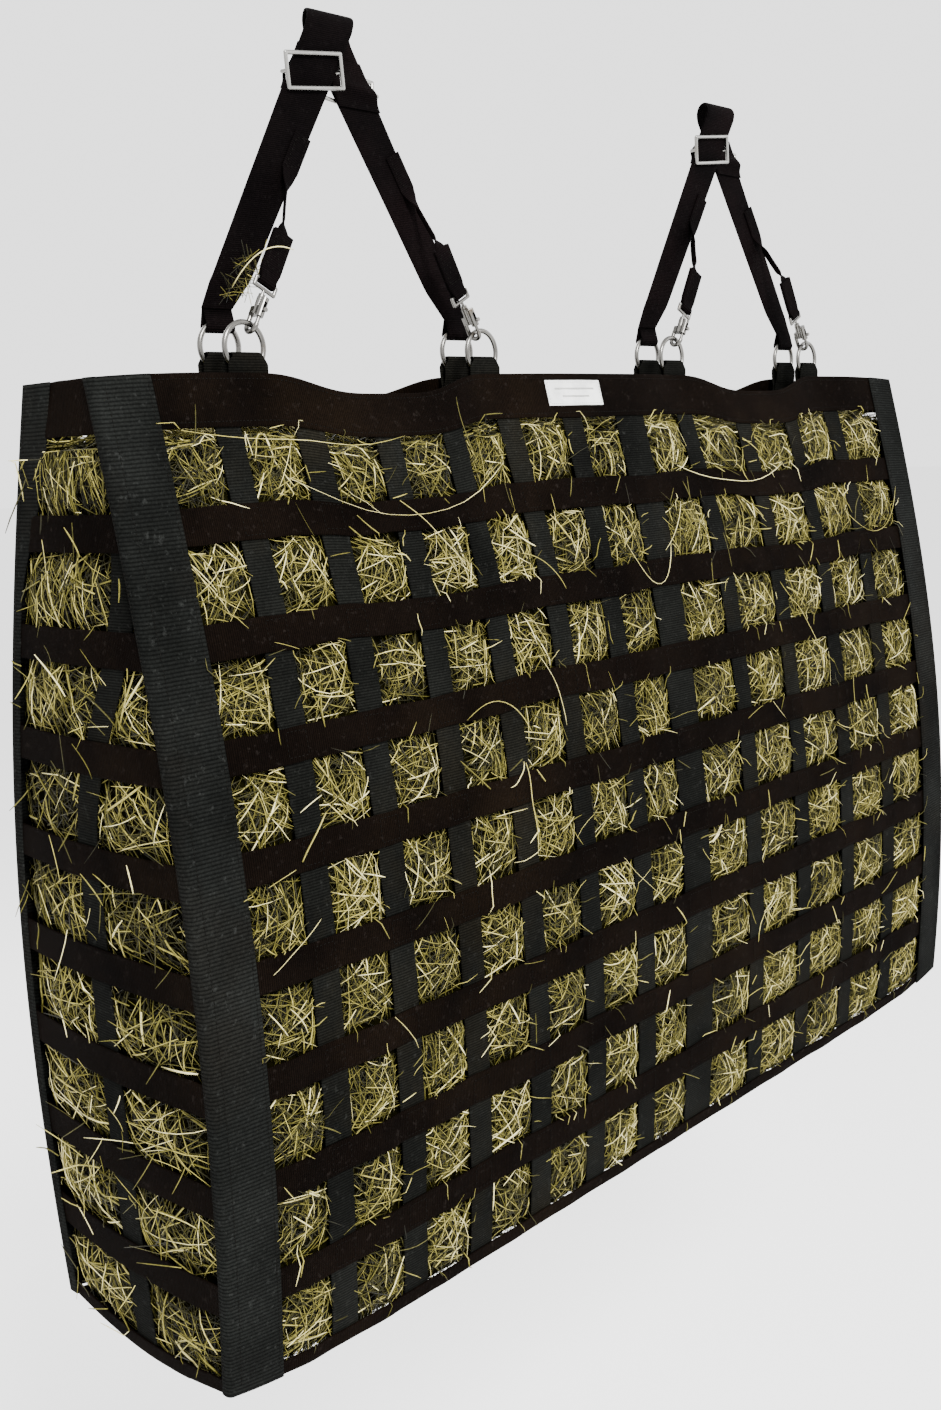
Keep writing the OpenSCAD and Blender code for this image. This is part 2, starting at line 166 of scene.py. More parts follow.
def face_y(side, x, h):
    half = 48 + 77 * (1 - np.clip(h, 0, 1) ** 1.84)
    belly = np.sin(np.pi * np.clip(h, 0, 1))
    flat = 1 - (np.abs(x) / HALF_W) ** 4
    near_rim = smooth((h - 0.72) / 0.28)
    if side < 0:
        return MID_Y - half - 22 * belly + (8 * flat + 12.3 * tab_bumps(x)) * near_rim
    return MID_Y + half + 41 * belly - (14 * flat + 18.6 * tab_bumps(x)) * near_rim


def alike(*values):
    """Arrays of one common shape."""
    return np.broadcast_arrays(*(np.asarray(v, float) for v in values))


def on_face(side, x, h, out):
    """A point of the front or rear, lifted off it by out."""
    x, h, out = alike(x, h, out)
    return np.stack([x, face_y(side, x, h) + side * out, net_z(x, h)], -1)


def end_depth(h):
    return face_y(-1, HALF_W, h), face_y(1, HALF_W, h)


def end_bulge(u, h):
    return 9 * np.sin(np.pi * np.clip(u, 0, 1)) * np.sin(np.pi * np.clip(h, 0, 1)) ** 0.7


def end_sag(u, h):
    return 15 * np.sin(np.pi * np.clip(u, 0, 1)) * np.clip(1 - h, 0, 1) ** 9


def on_end(side, u, h, out):
    """A point of a gusset: u runs from 0 at the front to 1 at the rear."""
    u, h, out = alike(u, h, out)
    a, b = end_depth(h)
    z = net_z(HALF_W + 0 * h, h) - end_sag(u, h)
    return np.stack([side * (HALF_W + out + end_bulge(u, h)), a * (1 - u) + b * u, z], -1)


def floor_sag(x, v):
    return (15 + 3 * (1 - (np.abs(x) / HALF_W) ** 4)) * np.sin(np.pi * np.clip(v, 0, 1))


def on_floor(x, v, out):
    """A point of the floor: v runs from 0 at the front to 1 at the rear."""
    x, v, out = alike(x, v, out)
    y = face_y(-1, x, 0 * x) * (1 - v) + face_y(1, x, 0 * x) * v
    return np.stack([x, y, net_z(x, 0 * x) - out - floor_sag(x, v)], -1)


def wander(t, seed, scale):
    """A smooth random line, about -1 to 1."""
    r = np.random.default_rng(seed)
    total = 0 * np.asarray(t, float)
    for k in range(5):
        wave = np.sin(t / scale * (0.7 + 0.9 * k) + r.uniform(0, 6.28))
        total = total + wave * r.uniform(0.4, 1.0) / (1 + 0.6 * k)
    return total / 2


def open_share(t, opens, power=0.5):
    """1 in the middle of each opening, 0 over the straps."""
    t = np.asarray(t, float)
    total = 0 * t
    for a, b in opens:
        s = np.clip((t - a) / (b - a), 0, 1)
        total = np.where((s > 0) & (s < 1), np.sin(np.pi * s) ** power, total)
    return total


# ---- meshes

def put(name, verts, quads, uv=None, tris=None, tint=None):
    """One mesh from arrays, in mm."""
    verts = np.asarray(verts, float) * 0.001
    quads = np.asarray(quads, np.int64).reshape(-1, 4)
    tris = np.asarray([] if tris is None else tris, np.int64).reshape(-1, 3)
    me = bpy.data.meshes.new(name)
    me.vertices.add(len(verts))
    me.vertices.foreach_set("co", verts.ravel())
    corners = np.concatenate([quads.ravel(), tris.ravel()]).astype(np.int32)
    me.loops.add(len(corners))
    me.loops.foreach_set("vertex_index", corners)
    starts = np.concatenate([np.arange(len(quads)) * 4, len(quads) * 4 + np.arange(len(tris)) * 3])
    me.polygons.add(len(starts))
    me.polygons.foreach_set("loop_start", starts.astype(np.int32))
    if uv is not None:
        layer = me.uv_layers.new(name="run")
        layer.data.foreach_set("uv", (np.asarray(uv, float) * 0.001)[corners].ravel())
    if tint is not None:
        layer = me.attributes.new("tint", "FLOAT", "POINT")
        layer.data.foreach_set("value", np.asarray(tint, np.float32))
    me.update(calc_edges=True)
    me.validate()
    me.polygons.foreach_set("use_smooth", [True] * len(me.polygons))
    ob = bpy.data.objects.new(name, me)
    bpy.context.scene.collection.objects.link(ob)
    return ob


class Parts:
    """Strips and stitches gathered into one mesh."""

    def __init__(self):
        self.v, self.q, self.uv, self.n = [], [], [], 0

    def add(self, v, q, uv):
        self.v.append(v)
        self.q.append(q + self.n)
        self.uv.append(uv)
        self.n += len(v)

    def put(self, name):
        return put(name, np.concatenate(self.v), np.concatenate(self.q), np.concatenate(self.uv))


# across a strip: where its points lie, and its thickness there
EDGE_V = np.array([-1, -0.955, -0.86, -0.5, -0.17, 0.17, 0.5, 0.86, 0.955, 1])
EDGE_T = np.array([0.4, 0.82, 1, 1, 1, 1, 1, 1, 0.82, 0.4])


def normals(p):
    du, dv = np.gradient(p, axis=0), np.gradient(p, axis=1)
    n = np.cross(du, dv)
    return n / np.maximum(np.linalg.norm(n, axis=-1, keepdims=True), 1e-9)


def distance(points):
    """How far along a path each of its points is."""
    return np.concatenate([[0], np.cumsum(np.linalg.norm(np.diff(points, axis=0), axis=-1))])


def along(at, d, points):
    """Points at distances along a path."""
    return np.stack([np.interp(at, d, points[:, k]) for k in range(3)], -1)


def strip(parts, p, thick=WEB, shape=EDGE_T):
    """A webbing strip with soft edges: p is its middle surface, (along, across, 3)."""
    n, m = p.shape[:2]
    nor = normals(p)
    th = (thick / 2 * np.asarray(shape))[None, :, None]
    ring = np.concatenate([p + nor * th, (p - nor * th)[:, ::-1]], 1)
    v = ring.reshape(-1, 3)
    k = 2 * m
    i = np.arange(n - 1)[:, None] * k
    j = np.arange(k)[None, :]
    q = np.stack([i + j, i + (j + 1) % k, i + k + (j + 1) % k, i + k + j], -1).reshape(-1, 4)
    c = np.arange(m - 1)
    cap = np.stack([c, c + 1, k - 2 - c, k - 1 - c], -1)
    q = np.concatenate([q, cap[:, ::-1], cap + (n - 1) * k])
    run = np.repeat(distance(p[:, m // 2])[:, None], k, 1)
    side = np.cumsum(np.linalg.norm(np.diff(p, axis=1), axis=-1), 1)
    side = np.concatenate([np.zeros((n, 1)), side], 1)
    side = side - side[:, -1:] / 2
    uv = np.stack([run, np.concatenate([side, side[:, ::-1]], 1)], -1).reshape(-1, 2)
    parts.add(v, q[:, ::-1], uv + [rng.uniform(0, 900), 0])


# one stitch: its outline, its raised back and its underside
STITCH = [(-1, 0, 0), (-0.55, -1, 0), (0.55, -1, 0), (1, 0, 0), (0.55, 1, 0), (-0.55, 1, 0),
          (-0.5, 0, 1), (0.5, 0, 1), (-0.5, 0, -0.6), (0.5, 0, -0.6)]
STITCH_FACES = np.array([(0, 1, 6, 6), (1, 2, 7, 6), (2, 3, 7, 7), (3, 4, 7, 7), (4, 5, 6, 7), (5, 0, 6, 6),
                         (1, 0, 8, 8), (2, 1, 8, 9), (3, 2, 9, 9), (4, 3, 9, 9), (5, 4, 9, 8), (0, 5, 8, 8)])


def stitches(parts, points, nor, long=2.9, wide=0.75, high=0.55, pitch=4.4, lift=0.1):
    """A row of stitches along a line of points lying on a surface."""
    points, nor = np.asarray(points, float), np.asarray(nor, float)
    d = distance(points)
    count = max(1, int(d[-1] / pitch))
    at = (np.arange(count) + 0.5) * d[-1] / count
    nn = along(at, d, nor)
    nn /= np.linalg.norm(nn, axis=-1, keepdims=True)
    ahead_ = along(at + 0.5, d, points) - along(at - 0.5, d, points)
    ahead_ /= np.maximum(np.linalg.norm(ahead_, axis=-1, keepdims=True), 1e-9)
    across = np.cross(nn, ahead_)
    base = along(at, d, points) + nn * lift
    v = [base + ahead_ * a * long / 2 + across * b * wide / 2 + nn * c * high for a, b, c in STITCH]
    q = (STITCH_FACES[None] + (np.arange(count) * len(STITCH))[:, None, None]).reshape(-1, 4)
    parts.add(np.stack(v, 1).reshape(-1, 3), q, np.zeros((count * len(STITCH), 2)))


def sew_lines(sew, lines, count, place, nor, **kind):
    """Stitches on straight lines between pairs of corners, which place puts on a surface."""
    k = np.linspace(0, 1, count)
    for (a0, b0), (a1, b1) in lines:
        stitches(sew, place(a0 + (a1 - a0) * k, b0 + (b1 - b0) * k), [nor] * count, **kind)


def box_lines(x0, z0, x1, z1):
    """The four sides of a box."""
    ring = [(x0, z0), (x1, z0), (x1, z1), (x0, z1), (x0, z0)]
    return list(zip(ring, ring[1:]))


def put_stitches(parts, name):
    """Stitch quads with a doubled corner are triangles."""
    v, q = np.concatenate(parts.v), np.concatenate(parts.q)
    same = (q[:, 2] == q[:, 3])
    return put(name, v, q[~same], tris=q[same][:, :3])


# ---- materials

def nodes_of(name):
    m = bpy.data.materials.new(name)
    m.use_nodes = True
    t = m.node_tree
    t.nodes.clear()
    out = t.nodes.new("ShaderNodeOutputMaterial")
    b = t.nodes.new("ShaderNodeBsdfPrincipled")
    t.links.new(b.outputs[0], out.inputs[0])
    return m, t, b


def math_node(t, kind, a, b=None):
    n = t.nodes.new("ShaderNodeMath")
    n.operation = kind
    for i, v in enumerate((a, b)):
        if v is None:
            continue
        if isinstance(v, (int, float)):
            n.inputs[i].default_value = v
        else:
            t.links.new(v, n.inputs[i])
    return n.outputs[0]


def noise_node(t, vector, scale, detail=3.0, rough=0.55):
    n = t.nodes.new("ShaderNodeTexNoise")
    n.inputs["Scale"].default_value = scale
    n.inputs["Detail"].default_value = detail
    n.inputs["Roughness"].default_value = rough
    if vector is not None:
        t.links.new(vector, n.inputs["Vector"])
    return n


def ramp_node(t, fac, stops):
    n = t.nodes.new("ShaderNodeValToRGB")
    el = n.color_ramp.elements
    while len(el) < len(stops):
        el.new(0.5)
    for e, (p, c) in zip(el, stops):
        e.position = p
        e.color = (*c, 1)
    t.links.new(fac, n.inputs[0])
    return n.outputs[0]


def mix_node(t, kind, fac, a, b):
    n = t.nodes.new("ShaderNodeMix")
    n.data_type = "RGBA"
    n.blend_type = kind
    for socket, v in ((n.inputs[0], fac), (n.inputs[6], a), (n.inputs[7], b)):
        if isinstance(v, (int, float)):
            socket.default_value = v
        elif isinstance(v, tuple):
            socket.default_value = (*v, 1)
        else:
            t.links.new(v, socket)
    return n.outputs[2]


def object_at(t):
    return t.nodes.new("ShaderNodeTexCoord").outputs["Object"]


def times(t, a, b):
    return math_node(t, "MULTIPLY", a, b)


def wave_node(t, value, pitch):
    """A sine along a length, with its pitch in metres."""
    return math_node(t, "SINE", times(t, value, 2 * math.pi / pitch))


def spread(t, value, size):
    """A noise value moved to stand about zero."""
    return times(t, math_node(t, "SUBTRACT", value, 0.5), size)


def grey_ramp(t, fac, low, dark, high, light):
    return ramp_node(t, fac, [(low, (dark,) * 3), (high, (light,) * 3)])


def relief(t, b, height, strength, distance):
    """Small relief from a height."""
    bump_ = t.nodes.new("ShaderNodeBump")
    bump_.inputs["Strength"].default_value = strength
    bump_.inputs["Distance"].default_value = distance
    t.links.new(height, bump_.inputs["Height"])
    t.links.new(bump_.outputs[0], b.inputs["Normal"])


def webbing(name, dark, light, faded, rib=2.2, wear=0.5):
    """Woven webbing: ribs across its width, with painted shade in their grooves and painted highlight on
    their ridges, a fine weave, faded patches and dust.
    """
    m, t, b = nodes_of(name)
    uv = t.nodes.new("ShaderNodeUVMap")
    uv.uv_map = "run"
    split = t.nodes.new("ShaderNodeSeparateXYZ")
    t.links.new(uv.outputs[0], split.inputs[0])
    u, v = split.outputs[0], split.outputs[1]
    geo = object_at(t)
    shake = noise_node(t, geo, 60, 2).outputs["Fac"]
    phase = math_node(t, "ADD", times(t, u, 2 * math.pi / (rib * 0.001)), times(t, shake, 1.2))
    ribs = math_node(t, "MULTIPLY_ADD", math_node(t, "SINE", phase), 0.5)
    ribs.node.inputs[2].default_value = 0.5
    weave = times(t, wave_node(t, u, rib * 0.0005), wave_node(t, v, 0.0011))
    cloud = noise_node(t, geo, 9, 4, 0.6).outputs["Fac"]
    patch = noise_node(t, geo, 4.3, 5, 0.65).outputs["Fac"]
    fleck = noise_node(t, geo, 420, 2, 0.7).outputs["Fac"]
    grime = noise_node(t, geo, 150, 3, 0.7).outputs["Fac"]
    between_ = tuple((a + c) / 2 for a, c in zip(dark, light))
    dusty = tuple(min(1, c * 1.8 + 0.006) for c in light)
    base = ramp_node(t, cloud, [(0.32, dark), (0.55, between_), (0.75, light)])
    base = mix_node(t, "MIX", grey_ramp(t, patch, 0.5, 0, 0.72, 0.6), base, faded)
    # painted shade in the rib grooves and painted highlight on the rib ridges
    base = mix_node(t, "MULTIPLY", 1.0, base, grey_ramp(t, ribs, 0.0, 0.45, 0.7, 1.15))
    base = mix_node(t, "MULTIPLY", 0.7, base, grey_ramp(t, fleck, 0.3, 0.55, 0.7, 1.45))
    base = mix_node(t, "MIX", grey_ramp(t, grime, 0.6, 0, 0.74, wear), base, dusty)
    t.links.new(base, b.inputs["Base Color"])
    b.inputs["Roughness"].default_value = 0.82
    b.inputs["Specular IOR Level"].default_value = 0.012
    height = math_node(t, "ADD", times(t, ribs, 0.6), times(t, weave, 0.22))
    height = math_node(t, "ADD", height, times(t, fleck, 0.5))
    relief(t, b, height, 0.75, 0.0006)
    return m


def straw_material(name, stops, rough=0.6, gloss=0.2):
    """Each straw has its own tint, which picks a colour from near black through dark green to pale straw:
    straws that lie deeper get lower tints, painted shade on top of their own colour.
    """
    m, t, b = nodes_of(name)
    tint = t.nodes.new("ShaderNodeAttribute")
    tint.attribute_name = "tint"
    geo = object_at(t)
    patch = noise_node(t, geo, 7, 3).outputs["Fac"]
    fine = noise_node(t, geo, 260, 3, 0.7).outputs["Fac"]
    fac = math_node(t, "ADD", tint.outputs["Fac"], spread(t, patch, 0.5))
    fac = math_node(t, "ADD", fac, spread(t, fine, 0.35))
    t.links.new(ramp_node(t, fac, stops), b.inputs["Base Color"])
    b.inputs["Roughness"].default_value = rough
    b.inputs["Specular IOR Level"].default_value = gloss
    relief(t, b, fine, 0.35, 0.0004)
    return m


def metal(name, colour, rough):
    m, t, b = nodes_of(name)
    geo = object_at(t)
    spot = noise_node(t, geo, 130, 4, 0.6).outputs["Fac"]
    stain = noise_node(t, geo, 35, 3, 0.6).outputs["Fac"]
    dull = tuple(c * 0.75 for c in colour)
    col = ramp_node(t, stain, [(0.35, colour), (0.62, dull), (0.80, (0.13, 0.10, 0.065))])
    t.links.new(col, b.inputs["Base Color"])
    b.inputs["Metallic"].default_value = 1.0
    r = t.nodes.new("ShaderNodeMapRange")
    r.inputs["To Min"].default_value = rough - 0.08
    r.inputs["To Max"].default_value = rough + 0.16
    t.links.new(spot, r.inputs["Value"])
    t.links.new(r.outputs[0], b.inputs["Roughness"])
    relief(t, b, spot, 0.15, 0.0003)
    return m


def thread(name, colour):
    m, t, b = nodes_of(name)
    f = noise_node(t, object_at(t), 700, 2).outputs["Fac"]
    shade = tuple(c * 0.6 for c in colour)
    t.links.new(ramp_node(t, f, [(0.3, shade), (0.7, colour)]), b.inputs["Base Color"])
    b.inputs["Roughness"].default_value = 0.8
    b.inputs["Specular IOR Level"].default_value = 0.05
    return m


def cloth(name, colour):
    """Plain woven cloth with a few stains."""
    m, t, b = nodes_of(name)
    geo = object_at(t)
    split = t.nodes.new("ShaderNodeSeparateXYZ")
    t.links.new(geo, split.inputs[0])
    weave = times(t, wave_node(t, split.outputs[0], 0.0008), wave_node(t, split.outputs[2], 0.0008))
    spot = noise_node(t, geo, 45, 4, 0.65).outputs["Fac"]
    stained = tuple(c * 0.72 for c in colour)
    t.links.new(ramp_node(t, spot, [(0.3, stained), (0.6, colour)]), b.inputs["Base Color"])
    b.inputs["Roughness"].default_value = 0.75
    relief(t, b, weave, 0.5, 0.0003)
    return m


# each webbing: its dark, light and faded colours
BROWN = webbing("webbing_brown", (0.0011, 0.0006, 0.0004), (0.0038, 0.0023, 0.0015),
                (0.0058, 0.0035, 0.0018))
SLATE = webbing("webbing_slate", (0.0022, 0.0023, 0.0020), (0.0066, 0.0069, 0.0060),
                (0.0085, 0.0068, 0.0038), rib=2.6)
TRIM = webbing("webbing_trim", (0.0028, 0.0030, 0.0027), (0.0084, 0.0090, 0.0082),
               (0.0060, 0.0050, 0.0038), rib=3.4)
TAB = webbing("tab_slate", (0.0020, 0.0020, 0.0017), (0.0050, 0.0050, 0.0042),
              (0.0060, 0.0050, 0.0035), rib=2.4, wear=0.2)
BLACK = webbing("strap_black", (0.0010, 0.0007, 0.0008), (0.0032, 0.0022, 0.0022),
                (0.0045, 0.0022, 0.0024), rib=2.0, wear=0.2)
THREAD = thread("dark_thread", (0.0042, 0.0037, 0.0030))
PALE_THREAD = thread("pale_thread", (0.45, 0.45, 0.43))
LABEL = cloth("label_cloth", (0.80, 0.80, 0.78))
# one plated steel in two copies: the paler, for the slides, is painted highlight and the darker, for the
# rings, eyes and snaps, is painted shade; the stains in both are their own
STEEL = metal("plated_steel", (0.28, 0.275, 0.26), 0.26)
SHADED_STEEL = metal("plated_steel_shaded", (0.15, 0.145, 0.135), 0.24)
# the darkest stops of the hay colours are painted shade, for straws that lie deep in the hay
HAY = straw_material("hay_straw", [
    (0.0, (0.0010, 0.0009, 0.0002)),
    (0.25, (0.0070, 0.0064, 0.0010)),
    (0.45, (0.032, 0.029, 0.0035)),
    (0.62, (0.115, 0.101, 0.016)),
    (0.80, (0.33, 0.285, 0.075)),
    (1.0, (0.74, 0.67, 0.34)),
])
# the heap's near-black colours are painted shade of the hay deep inside the net; the tint noise on it is its
# own uneven colour
CORE = straw_material("shaded_hay_core", [
    (0.0, (0.0015, 0.0013, 0.0003)),
    (0.45, (0.0060, 0.0054, 0.0010)),
    (0.7, (0.020, 0.018, 0.0032)),
    (1.0, (0.06, 0.052, 0.011)),
], 0.95, 0.0)


def finish(ob, material, body, slot, *replaced):
    ob.data.materials.append(material)
    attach(ob, body)
    if replaced:
        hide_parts(*replaced)
    return ob


# ---- webbing of the two faces

CROSS_OUT = 3.3  # how far out the cross straps lie
dense_x = np.linspace(-HALF_W, HALF_W, 431)
W = (EDGE_V + 1) / 2


def trim_fade(x):
    """1 on the net, 0 where a strap runs under a corner trim."""
    return np.clip((HALF_W - 30 - np.abs(x)) / 60, 0, 1)


def face_cross(parts, side, low, high, seed, wave=2.3):
    """A strap across a face, which waves a little and puffs out over the openings."""
    x = dense_x[:, None]
    lean_ = ((wander(dense_x, seed, 62) + 0.45 * wander(dense_x, seed + 7, 23)) * wave)[:, None]
    puff = (open_share(dense_x, X_OPEN, 2) * (1.9 + 1.2 * wander(dense_x, seed + 50, 300)))[:, None]
    mid = (low + high) / 2
    size = (high - low) / 2 * (1 - 0.05 * np.abs(wander(dense_x, seed + 9, 34)))[:, None]
    h = mid + size * EDGE_V[None, :] + lean_ * trim_fade(x) / NET_H
    curl = puff * (0.55 + 0.45 * (1 - EDGE_V[None, :] ** 2))
    strip(parts, on_face(side, x + 0 * h, h, CROSS_OUT + curl))


def face_upright(parts, side, u, seed, wave=1.6):
    """A strap up a face, under the cross straps."""
    h1 = np.linspace(0.0, 0.985, 330)
    h = h1[:, None]
    sway = (wander(h1 * NET_H, seed, 60) * wave)[:, None]
    mid, size = sum(u) / 2, (u[1] - u[0]) / 2
    x = mid + size * EDGE_V[None, :] + sway
    puff = (open_share(h1, H_OPEN, 2) * 1.1)[:, None] * (1 - EDGE_V[None, :] ** 2)
    strip(parts, on_face(side, x, h + 0 * x, 1.0 + puff))


def face_webbing(side, word, seed):
    parts = Parts()
    for i, (a, b) in enumerate(CROSSES):
        face_cross(parts, side, a, b, seed + i)
    face_cross(parts, side, 0.0, FOOT_TOP, seed + 20, wave=0.4)
    finish(parts.put(f"{word}_cross_webbing"), BROWN, "bag", "webbing_brown", f"{word}_cross_straps")
    parts = Parts()
    for i, u in enumerate(UPRIGHTS):
        face_upright(parts, side, u, seed + 30 + i)
    finish(parts.put(f"{word}_upright_webbing"), SLATE, "bag", "webbing_slate", f"{word}_upright_straps")
    parts = Parts()
    face_upright(parts, side, SEAM, seed + 60, wave=0.5)
    finish(parts.put(f"{word}_seam_webbing"), SLATE, "bag", "webbing_slate", f"{word}_seam_strap")
    parts = Parts()
    x = dense_x[:, None]
    dip = (wander(dense_x, seed + 70, 55) * 0.8)[:, None] * trim_fade(x)
    h = BAND_LOW + (1 - BAND_LOW) * W[None, :] + dip * (EDGE_V[None, :] < 0) / NET_H
    strip(parts, on_face(side, x + 0 * h, h, CROSS_OUT))
    finish(parts.put(f"{word}_top_webbing"), BROWN, "bag", "webbing_brown", f"{word}_top_band")


FACE_SEED = {-1: 100, 1: 500}
for side, word in FACES:
    face_webbing(side, word, FACE_SEED[side])

# ---- corner trims, wrapped round each corner

EDGE_HS = np.linspace(0.0, 1.0, 300)
TURN_R = 5.6


def corner(parts, end, side):
    """A trim folded round a corner: flat on the face, a turn, and a flap along the gusset."""
    up_ = EDGE_HS * NET_H
    back = 9.0 if side < 0 else 14 + 30 * smooth((EDGE_HS - 0.78) / 0.15)
    back = back - 3.4 + 0.5 * wander(up_, 900 + end * 2 + side, 50)
    flat = TRIM_W + 0.5 * wander(up_, 910 + end * 2 + side, 60)
    edge_y = face_y(side, HALF_W, EDGE_HS)
    rows = []
    for share in (0, 0.012, 0.04, 0.15, 0.3, 0.45, 0.6, 0.7):
        x = HALF_W - flat + flat * share / 0.7
        rows.append((x, face_y(side, x, EDGE_HS) + side * TURN_R))
    for k in range(1, 8):
        a = k / 8 * math.pi / 2
        rows.append((HALF_W + TURN_R * math.sin(a) + 0 * up_, edge_y + side * TURN_R * math.cos(a)))
    for share in (0.0, 0.5, 0.93, 1.0):
        rows.append((HALF_W + TURN_R + 0 * up_, edge_y - side * back * share))
    p = np.stack([np.stack([end * x, y, net_z(np.minimum(x, HALF_W), EDGE_HS)], -1) for x, y in rows], 1)
    if end * side > 0:
        p = p[:, ::-1]
    shape = np.ones(p.shape[1])
    shape[[0, -1]] = 0.4
    shape[[1, -2]] = 0.85
    strip(parts, p, shape=shape)


for side, word in FACES:
    parts = Parts()
    for end in (-1, 1):
        corner(parts, end, side)
    names = [f"{word}_corner_trims"] + (["gusset_edge_strips"] if side < 0 else [])
    finish(parts.put(f"{word}_corner_webbing"), TRIM, "bag", "webbing_trim", *names)

# ---- gussets

def centre_line(h):
    """Where the centre strap of a gusset runs: it bends into the front trim near the rim."""
    return 0.5 * (1 - smooth((h - 0.55) / 0.35))


def gusset_webbing():
    cross, top, centre = Parts(), Parts(), Parts()
    u_line = np.linspace(0, 1, 60)
    for end in (-1, 1):
        for i, (a, b) in enumerate(CROSSES + [(0.0, FOOT_TOP), (BAND_LOW, 1.0)]):
            sway = wander(u_line * DEEP, 1200 + i + 30 * (end > 0), 50)[:, None] * 0.8 / NET_H
            h = np.clip(a + (b - a) * W[None, :] + sway, 0, 1)
            y0, y1 = end_depth(h)
            inset = 2 / (y1 - y0)
            p = on_end(end, inset + (1 - 2 * inset) * u_line[:, None], h, CROSS_OUT)
            strip(top if i == 9 else cross, p if end > 0 else p[::-1])
        h = np.linspace(0, CROSSES[7][1], 260)
        y0, y1 = end_depth(h)
        size = y1 - y0
        lo = np.maximum(10 / size, centre_line(h) - STRAP / 2 / size)
        hi = np.maximum(14 / size, centre_line(h) + STRAP / 2 / size)
        u = lo[:, None] + (hi - lo)[:, None] * W[None, :]
        p = on_end(end, u, h[:, None], 1.0)
        strip(centre, p if end < 0 else p[:, ::-1])
    finish(cross.put("gusset_cross_webbing"), BROWN, "bag", "webbing_brown", "gusset_cross_straps")
    finish(top.put("gusset_top_webbing"), BROWN, "bag", "webbing_brown", "gusset_top_bands")
    finish(centre.put("gusset_centre_webbing"), SLATE, "bag", "webbing_slate", "gusset_centre_straps")


gusset_webbing()

# ---- floor of the bag

FLOOR_GAP = (1 - 2 * STRAP / DEEP) / 3
FLOOR_LINES = [(FLOOR_GAP, FLOOR_GAP + STRAP / DEEP), (1 - FLOOR_GAP - STRAP / DEEP, 1 - FLOOR_GAP)]


def floor_webbing():
    parts = Parts()
    v = np.linspace(0, 1, 60)[:, None]
    for a, b in ALL_UP + [(-HALF_W, 30 - HALF_W), (HALF_W - 30, HALF_W)]:
        strip(parts, on_floor(a + (b - a) * W[None, :], v, 1.3))
    finish(parts.put("floor_cross_webbing"), SLATE, "bag", "webbing_slate", "bottom_cross_straps")
    parts = Parts()
    for a, b in FLOOR_LINES:
        strip(parts, on_floor(dense_x[:, None], a + (b - a) * W[None, :], 3.6)[::-1])
    finish(parts.put("floor_long_webbing"), BROWN, "bag", "webbing_brown", "bottom_long_straps")


floor_webbing()

# ---- tabs that hold the rings

TAB_Z = [-38, -20, -14, -8, -3, 6, 13]
TAB_GAP = [1.15, 1.2, 1.6, 3.2, 4.0, 4.3, 4.4]  # half the space between the leaves
TAB_LEAN = [6, 1.5, 0.48, 0, 0, 0, 0]  # how far the tab leans into the band


def ribbon_path(parts, path, across, widths, thick, steps):
    """A strip along a 3-D path, with its width along a given direction."""
    d = distance(path)
    at = np.linspace(0, d[-1], steps)
    across = np.broadcast_to(np.asarray(across, float), path.shape)
    half = (np.interp(at, d, widths) / 2)[:, None, None]
    side = along(at, d, across)[:, None] * EDGE_V[None, :, None] * half
    strip(parts, along(at, d, path)[:, None] + side, thick)


def tab_path(sign):
    """A tab's fold in Y and Z: up one leaf, over inside the ring, down the other. 0, 0 is the ring's wire."""
    z = np.linspace(TAB_Z[0], TAB_Z[-1], 30)
    gap = np.interp(z, TAB_Z, TAB_GAP)
    lean_ = sign * np.interp(z, TAB_Z, TAB_LEAN)
    a = np.radians(np.linspace(12, 168, 12))
    rise = np.stack([0 * z, lean_ + gap, z], -1)
    top = np.stack([0 * a, 4.4 * np.cos(a), 13.0 + 3.2 * np.sin(a)], -1)
    down = np.stack([0 * z, lean_ - gap, z], -1)[::-1]
    return np.concatenate([rise, top, down])


def tab_webbing(word, y, z, sign):
    parts, sew = Parts(), Parts()
    path = tab_path(sign)
    widths = np.interp(path[:, 2], [-40, 6, 12, 13.5, 16], [44, 44, 36, 33, 32])

    def on_tab(dx, dz):
        return np.stack([f + dx, y + sign * (lift + np.interp(dz, TAB_Z, TAB_LEAN)), z + dz], -1)

    for f in FEET:
        ribbon_path(parts, path + [f, y, z], (1, 0, 0), widths, 1.6, 90)
        lift = 2.0
        sides = [((dx, -36), (dx, -15)) for dx in (-17.5, 17.5)]
        sew_lines(sew, sides, 12, on_tab, (0, sign, 0), lift=0.3)
        lift = 2.2
        rows = [((-17, dz), (17, dz)) for dz in (-15, -20)]
        sew_lines(sew, rows, 10, on_tab, (0, sign, 0), lift=0.3)
    tabs = parts.put(f"{word}_tab_webbing")
    tabs.data.materials.append(TAB)
    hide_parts(f"{word}_tabs")
    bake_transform(tabs)
    finish(put_stitches(sew, f"{word}_tab_stitching"), THREAD, "bag", "webbing_slate")


tab_webbing("front", FRONT_RING_Y, FRONT_RING_Z - RING_R, -1)
tab_webbing("rear", 0.0, REAR_RING_Z - RING_R, 1)

# ---- stitching on the bag

def crossing_stitches(sew, side):
    """A sewn box wherever a cross strap lies over an upright one."""
    for i, (a, b) in enumerate(CROSSES):
        for c, d in ALL_UP:
            shift = wander(np.array([(c + d) / 2]), FACE_SEED[side] + i, 70)[0] * 1.3 / NET_H
            box = box_lines(c + 4.5, a + 4.5 / NET_H, d - 4.5, b - 4.5 / NET_H)
            sew_lines(sew, box, 6, lambda x, h: on_face(side, x, h + shift, 4.35), (0, side, 0))


